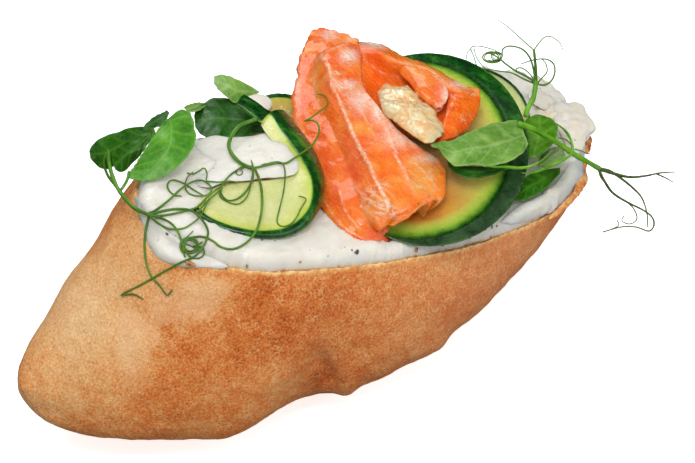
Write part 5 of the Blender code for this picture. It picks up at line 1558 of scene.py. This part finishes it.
# tendrils: marks on the sheet, first radius, last radius
DRAPED = [
    ([(149, 215), (145, 235), (145, 256), (150, 274), (160, 286), (167, 295), (172, 290)], 0.33, 0.2),
    ([(149, 215), (163, 211), (178, 209), (192, 211), (203, 221), (208, 232), (204, 245), (195, 256), (182, 262), (163, 272), (144, 283), (121, 295), (133, 294), (143, 299)], 0.34, 0.2),
    ([(149, 215), (158, 223), (170, 229), (184, 228), (194, 222), (201, 216)], 0.3, 0.18),
    ([(149, 215), (161, 218), (172, 224), (179, 234), (182, 244), (186, 252), (192, 258)], 0.3, 0.2),
    ([(149, 215), (158, 216), (172, 214), (185, 211), (197, 207), (206, 198), (214, 191), (225, 184)], 0.3, 0.2),
    ([(149, 213), (156, 210), (169, 200), (182, 188), (195, 181), (204, 181), (211, 187), (209, 194), (200, 196), (190, 194), (185, 187), (187, 178), (193, 172)], 0.32, 0.18),
    ([(181, 196), (174, 195), (168, 189), (168, 183), (173, 180), (183, 183), (194, 190), (206, 197)], 0.22, 0.18),
    ([(187, 173), (193, 174), (199, 171), (204, 168), (207, 173), (206, 180)], 0.2, 0.16),
    ([(206, 181), (218, 182), (229, 181), (237, 182)], 0.22, 0.14),
    (coil(190, 246, 10, 5, 2.2, 2.4, 0.9) + [(194, 247), (199, 244), (202, 242)], 0.26, 0.2),
    (coil(196, 252, 8, 9, 0.8, -2.0, 0.75), 0.24, 0.16),
    ([(185, 257), (183, 249), (185, 241), (193, 237), (204, 237), (213, 241), (221, 247), (233, 249), (246, 243), (256, 231), (261, 214), (262, 198), (260, 182), (255, 169)], 0.24, 0.34),
    ([(193, 231), (188, 236), (182, 240)], 0.16, 0.14),
    ([(253, 168), (263, 166), (276, 163), (286, 163), (296, 157), (306, 150), (314, 143), (319, 132), (318, 124), (312, 120), (305, 121), (312, 117), (320, 111), (327, 105), (327, 99), (323, 95), (317, 94)], 0.3, 0.17),
    ([(262, 167), (270, 163), (279, 162), (284, 166), (285, 178), (283, 194), (279, 210), (277, 221), (281, 226), (289, 225), (296, 218), (301, 208), (306, 199), (299, 196)], 0.2, 0.15),
    ([(253, 168), (252, 180), (246, 191), (237, 199), (227, 200), (221, 193), (222, 186), (228, 182)], 0.3, 0.17),
    ([(251, 167), (244, 166), (237, 170), (228, 177), (222, 186), (220, 196), (228, 202), (238, 204), (246, 198), (250, 188), (252, 176)], 0.22, 0.16),
    ([(244, 168), (239, 169), (236, 172), (238, 175), (242, 174), (242, 170), (239, 169)], 0.17, 0.13),
    ([(253, 168), (252, 163), (251, 160)], 0.34, 0.12),
    ([(258, 168), (264, 164), (270, 164)], 0.22, 0.12),
    ([(222, 188), (212, 197), (203, 206), (196, 214)], 0.22, 0.2),
    ([(212, 197), (206, 205), (201, 215)], 0.18, 0.16),
    ([(209, 198), (204, 210), (199, 216), (201, 209), (206, 200)], 0.14, 0.12),
]
for k, (pts, r0, r1) in enumerate(DRAPED):
    r0, r1 = 0.8 * r0, 0.8 * r1
    tube(f"tendril_left_{k:02d}", drape(pts, r0, 0.10), r0, r1, TENDRIL, 7, 0.12, **S)

RIGHT_ONES = [
    ([(600, 169, -4), (612, 173, -4), (629, 177, -4), (645, 176, -4.2), (660, 173, -4.5), (675, 172, -4.5)], 0.5, 0.14),
    ([(657, 174, -4.3), (666, 178, -4.5), (673, 182, -4.6)], 0.24, 0.12),
    ([(600, 169, -4), (610, 171, -4), (622, 179, -4), (633, 188, -4.2), (642, 198, -4.5), (647, 213, -4.8), (648, 227, -5)], 0.4, 0.15),
    ([(599, 170, -4), (605, 182, -4), (613, 193, -4), (627, 202, -4.3), (643, 210, -4.6), (652, 217, -5), (654, 225, -5), (649, 231, -5), (636, 227, -5), (621, 227, -5), (603, 232, -5)], 0.36, 0.15),
    ([(626, 201, -4.3), (634, 209, -4.6), (637, 219, -5), (630, 224, -5), (622, 221, -5), (624, 216, -5)], 0.18, 0.13),
    ([(603, 232, -5), (612, 229, -5), (619, 225, -5.2), (617, 220, -5.2)], 0.16, 0.12),
    ([(599, 170, -4), (601, 177, -4.2), (606, 184, -4.4)], 0.3, 0.14),
]
drop = float(depth(RIGHT_RUN[-1])) + 4.0
for k, (pts, r0, r1) in enumerate(RIGHT_ONES):
    r0, r1 = 0.85 * r0, 0.85 * r1
    pts = [(q[0], q[1], q[2] + drop) for q in pts]
    tube(f"tendril_right_{k:02d}", free_run(pts), r0, r1, TENDRIL_OLIVE, 7, 0.12, **({"nodes": ("stem_right_low",), **S} if k == 3 else S))

TOP_ONES = [
    ([(536, 84, -15), (536, 72, -16), (535, 60, -17), (534, 50, -18)], 0.44, 0.34),
    ([(534, 50, -18), (527, 44, -18.5), (516, 34, -19), (507, 26, -19.5), (498, 20, -20)], 0.2, 0.1),
    ([(534, 50, -18), (539, 43, -18.5), (545, 37, -19), (552, 37, -19.5), (560, 43, -19.5), (563, 50, -19.5)], 0.2, 0.1),
    ([(537, 84, -15), (545, 85, -15.2), (552, 80, -15.6), (555, 71, -16), (553, 63, -16), (545, 59, -16.3), (533, 60, -16.4), (521, 64, -16.4)], 0.3, 0.14),
    ([(535, 84, -15), (534, 72, -15.6), (530, 58, -16.4), (522, 49, -17), (510, 46, -17), (503, 49, -17), (502, 57, -16.8), (499, 62, -16.4)], 0.32, 0.18),
    ([(535, 82, -15), (526, 76, -15.2), (516, 71, -15.6), (506, 64, -16), (500, 59, -16.2), (492, 54, -16.6), (486, 53, -16.8)], 0.32, 0.2),
    ([(536, 84, -15), (524, 79, -15), (512, 73, -15.4), (500, 71, -15.6), (488, 69, -15.8), (482, 69, -15.8)], 0.26, 0.14),
    ([(519, 73, -15.4), (516, 69, -15.4), (522, 68, -15.2), (530, 74, -15), (535, 82, -15)], 0.2, 0.16),
    ([(487, 70, -16), (481, 64, -16.5), (476, 56, -17), (474, 48, -17.4)], 0.15, 0.12),
    ([(477, 67, -16.6), (474, 57, -17), (471, 48, -17.4), (478, 46, -17.5), (488, 48, -17.6), (496, 51, -17.4), (503, 56, -17)], 0.15, 0.13),
    ([(466, 62, -17), (467, 54, -17.2), (471, 48, -17.4)], 0.11, 0.12),
    ([(a, b, -16.8) for a, b in coil(492, 57, 10, 6, 2.3, 0.4, 0.6)], 0.2, 0.14),
    ([(a, b, -16.2) for a, b in coil(497, 56, 6, 3.5, 1.6, 2.0, 0.8)], 0.16, 0.12),
    ([(542, 59, -17), (546, 64, -16.8), (547, 72, -16.2), (541, 79, -15.4), (537, 84, -15)], 0.15, 0.2),
]
for k, (pts, r0, r1) in enumerate(TOP_ONES):
    r0, r1 = 0.8 * r0, 0.8 * r1
    tube(f"tendril_top_{k:02d}", free_run(pts, 1.5), r0, r1, TENDRIL, 7, 0.1, **S)

MORE = [
    ([(557, 124), (564, 130), (570, 139), (572, 149), (569, 157)], 0.15, 0.13),
    ([(558, 138), (565, 139), (571, 144), (573, 150), (568, 153), (565, 148)], 0.15, 0.12),
    ([(575, 149), (582, 151), (587, 154), (590, 153)], 0.14, 0.1),
    ([(541, 160), (538, 155), (537, 150)], 0.2, 0.07), ([(543, 160), (546, 154), (549, 149)], 0.2, 0.07), ([(540, 160), (543, 156), (545, 152)], 0.18, 0.07),
]
for k, (pts, r0, r1) in enumerate(MORE):
    tube(f"tendril_end_{k:02d}", drape(pts, r0, 0.35), r0, r1, TENDRIL, 6, 0.1, **S)


# ---- specks and crumbs ---------------------------------------------------------------------------
def specks(name, spots, mat, seed, flat=0.35, slot=None):
    """Many small broken lumps in one piece; spots are (point, normal, size)."""
    r = np.random.RandomState(seed)
    ico = bmesh.new()
    bmesh.ops.create_icosphere(ico, subdivisions=2, radius=1.0)
    B = np.array([v.co[:] for v in ico.verts])
    T = np.array([[v.index for v in f.verts] for f in ico.faces])
    ico.free()
    V, F = [], []
    for k, (p, n, s) in enumerate(spots):
        n = np.asarray(n) / np.linalg.norm(n)
        u = np.cross(n, r.normal(size=3))
        u /= np.linalg.norm(u)
        w = np.cross(n, u)
        sx, sy = s * r.uniform(0.6, 1.2), s * r.uniform(0.4, 0.9)
        q = B * (1 + 0.35 * NOISES[2](B * 1.9 + 9.1 * k))[:, None]
        V.append(np.asarray(p) + q[:, :1] * sx * u + q[:, 1:2] * sy * w + q[:, 2:] * s * flat * n)
        F.append(T + k * len(B))
    return put(name, np.concatenate(V), np.concatenate(F), mat, None, slot)


def landing(tree, a, b):
    """Point and normal of the surface seen at a, b."""
    o, e = sheet(a, b, 120.0), sheet(a, b, -120.0)
    hit = tree.ray_cast(Vector(o), Vector(e - o))
    if hit[0] is None:
        return None
    n = np.array(hit[1])
    return np.array(hit[0]), n if n @ BACK > 0 else -n


def build_specks():
    tree = tree_of(["cream_*", "bread_*"])
    herbs = [(167, 234, 0.42), (158, 240, 0.25), (357, 252, 0.8), (352, 250, 0.45), (417, 249, 0.4), (443, 244, 0.75), (449, 243, 0.6),
             (328, 256, 0.3), (492, 227, 0.6), (486, 229, 0.45), (497, 226, 0.35), (562, 180, 0.25), (470, 238, 0.4), (310, 250, 0.25),
             (250, 146, 0.25), (272, 158, 0.2), (236, 158, 0.22), (214, 168, 0.2), (262, 240, 0.35), (250, 239, 0.3), (275, 241, 0.3),
             (540, 208, 0.25), (156, 205, 0.2), (148, 230, 0.2), (575, 140, 0.25), (567, 200, 0.2)]
    spots = []
    for a, b, s in herbs:
        q = landing(tree, a, b)
        if q is not None:
            spots.append((q[0], q[1], 0.72 * s))
    r = np.random.RandomState(5)
    cream = tree_of(["cream_spread"])
    for _ in range(26):
        t, w = r.uniform(0, 2 * np.pi), r.uniform(0.35, 0.97) ** 0.6
        reach = float(cut_reach(np.array([t]))[0]) * w
        p = on_cut(np.array(CREAM_C[0] + reach * math.cos(t)), np.array(CREAM_C[1] + reach * math.sin(t)), np.array(25.0))
        hit = cream.ray_cast(Vector(p), Vector(-CUT_N))
        if hit[0] is not None:
            spots.append((np.array(hit[0]), np.array(hit[1]), r.uniform(0.07, 0.16)))
    specks("herb_flecks", spots, HERB, 3, 0.14, "cream_cheese")
    spots = []
    for a, b, s in [(190, 263, 1.0), (187, 266, 0.6), (416, 250, 0.4), (247, 266, 0.4), (226, 268, 0.35), (300, 262, 0.3), (586, 190, 0.5), (581, 196, 0.45), (589, 178, 0.4)]:
        q = landing(tree, a, b)
        if q is not None:
            spots.append((q[0] + 0.1 * q[1], q[1], s))
    for _ in range(150):
        t = r.uniform(0, 2 * np.pi)
        reach = float(cut_reach(np.array([t]))[0]) - r.uniform(-0.15, 0.9)
        p = on_cut(np.array(CREAM_C[0] + reach * math.cos(t)), np.array(CREAM_C[1] + reach * math.sin(t)), np.array(r.uniform(-0.25, 0.25)))
        size, (a, b) = r.uniform(0.12, 0.32), on_sheet(p)
        if not (a < 232 and b > 190):
            spots.append((p, CUT_N, size))
    specks("rim_crumbs", spots, CRUMB_BITS, 4, 0.6, "bread_crust")


build_specks()


def build_drips():
    """Cream that has run over the edge of the crust."""
    bread = tree_of(["bread_*"])
    for k, (out, front) in enumerate([
            ([(202, 254), (214, 254), (216, 259), (214, 263), (210, 266), (206, 264), (203, 259)], 0.45),
            ([(214, 256), (225, 256), (227, 261), (225, 265), (221, 268), (218, 265), (215, 261)], 0.5),
            ([(225, 257), (236, 257), (238, 262), (236, 266), (231, 270), (228, 266), (226, 262)], 0.55),
            ([(236, 259), (247, 259), (248, 264), (244, 267), (239, 268), (237, 265)], 0.45)]):
        P = np.array(out, float)
        d = seen_depth(bread, P[:, 0], P[:, 1])
        if np.isnan(d).any():
            d = np.where(np.isnan(d), np.nanmean(d), d)
        f = hill(np.column_stack([P, d]))
        pillow(f"cream_drip_{k}", out, f, front, 0.5, CREAM, K=60, R=12, rough=lambda p: 0.08 * fbm(p, 1.6, 2, 1),
               masks={"butter": lambda V: np.full(len(V), 0.15)}, slot="cream_cheese")


build_drips()


# ---- floor, light, camera ----------------------------------------------------------
def build_stage():
    me = bpy.data.meshes.new("floor")
    me.from_pydata([(-3, -3, 0), (3, -3, 0), (3, 3, 0), (-3, 3, 0)], [], [(0, 1, 2, 3)])
    floor = bpy.data.objects.new("floor", me)
    bpy.context.scene.collection.objects.link(floor)
    k = Look("floor_white", 0.9)
    k.p.inputs["Base Color"].default_value = (0.88, 0.92, 0.95, 1)
    k.p.inputs["Specular IOR Level"].default_value = 0.1
    k.p.inputs["Emission Color"].default_value = (1, 1, 1, 1)
    k.p.inputs["Emission Strength"].default_value = 0.70
    me.materials.append(k.m)
    floor.visible_diffuse = False
    floor.visible_glossy = False

    w = bpy.data.worlds.new("studio")
    bpy.context.scene.world = w
    w.use_nodes = True
    w.node_tree.nodes["Background"].inputs["Color"].default_value = (1, 1, 1, 1)
    w.node_tree.nodes["Background"].inputs["Strength"].default_value = 0.42
    w.cycles_visibility.glossy = False

    def lamp(name, size, watts, at, aim=(0.02, 0.0, 0.03), colour=(1, 1, 1)):
        l = bpy.data.lights.new(name, "AREA")
        l.shape, l.size, l.energy, l.color = "DISK", size, watts, colour
        o = bpy.data.objects.new(name, l)
        o.location = at
        o.rotation_euler = (Vector(aim) - Vector(at)).to_track_quat("-Z", "Y").to_euler()
        bpy.context.scene.collection.objects.link(o)
    lamp("key", 0.45, 3.15, (-0.22, -0.18, 0.78), colour=(1.0, 0.985, 0.96))
    lamp("fill", 0.8, 2.5, (0.35, -0.75, 0.5))
    lamp("kicker", 0.35, 1.3, (0.25, 0.5, 0.5))
    lamp("glint", 0.05, 0.34, (-0.12, -0.34, 0.62))

    cam = bpy.data.cameras.new("camera")
    cam.sensor_width, cam.lens = 36.0, 142.4
    cam.clip_start, cam.clip_end = 0.05, 20.0
    o = bpy.data.objects.new("camera", cam)
    target = Vector((SHEET_AT - ORIGIN) * MM)
    back = Vector(BACK)
    o.location = target + back * SHEET_FAR * MM
    o.rotation_euler = (-back).to_track_quat("-Z", "Y").to_euler()
    bpy.context.scene.collection.objects.link(o)
    bpy.context.scene.camera = o
    s = bpy.context.scene
    s.view_settings.view_transform = "Standard"
    s.view_settings.look = "None"


build_stage()
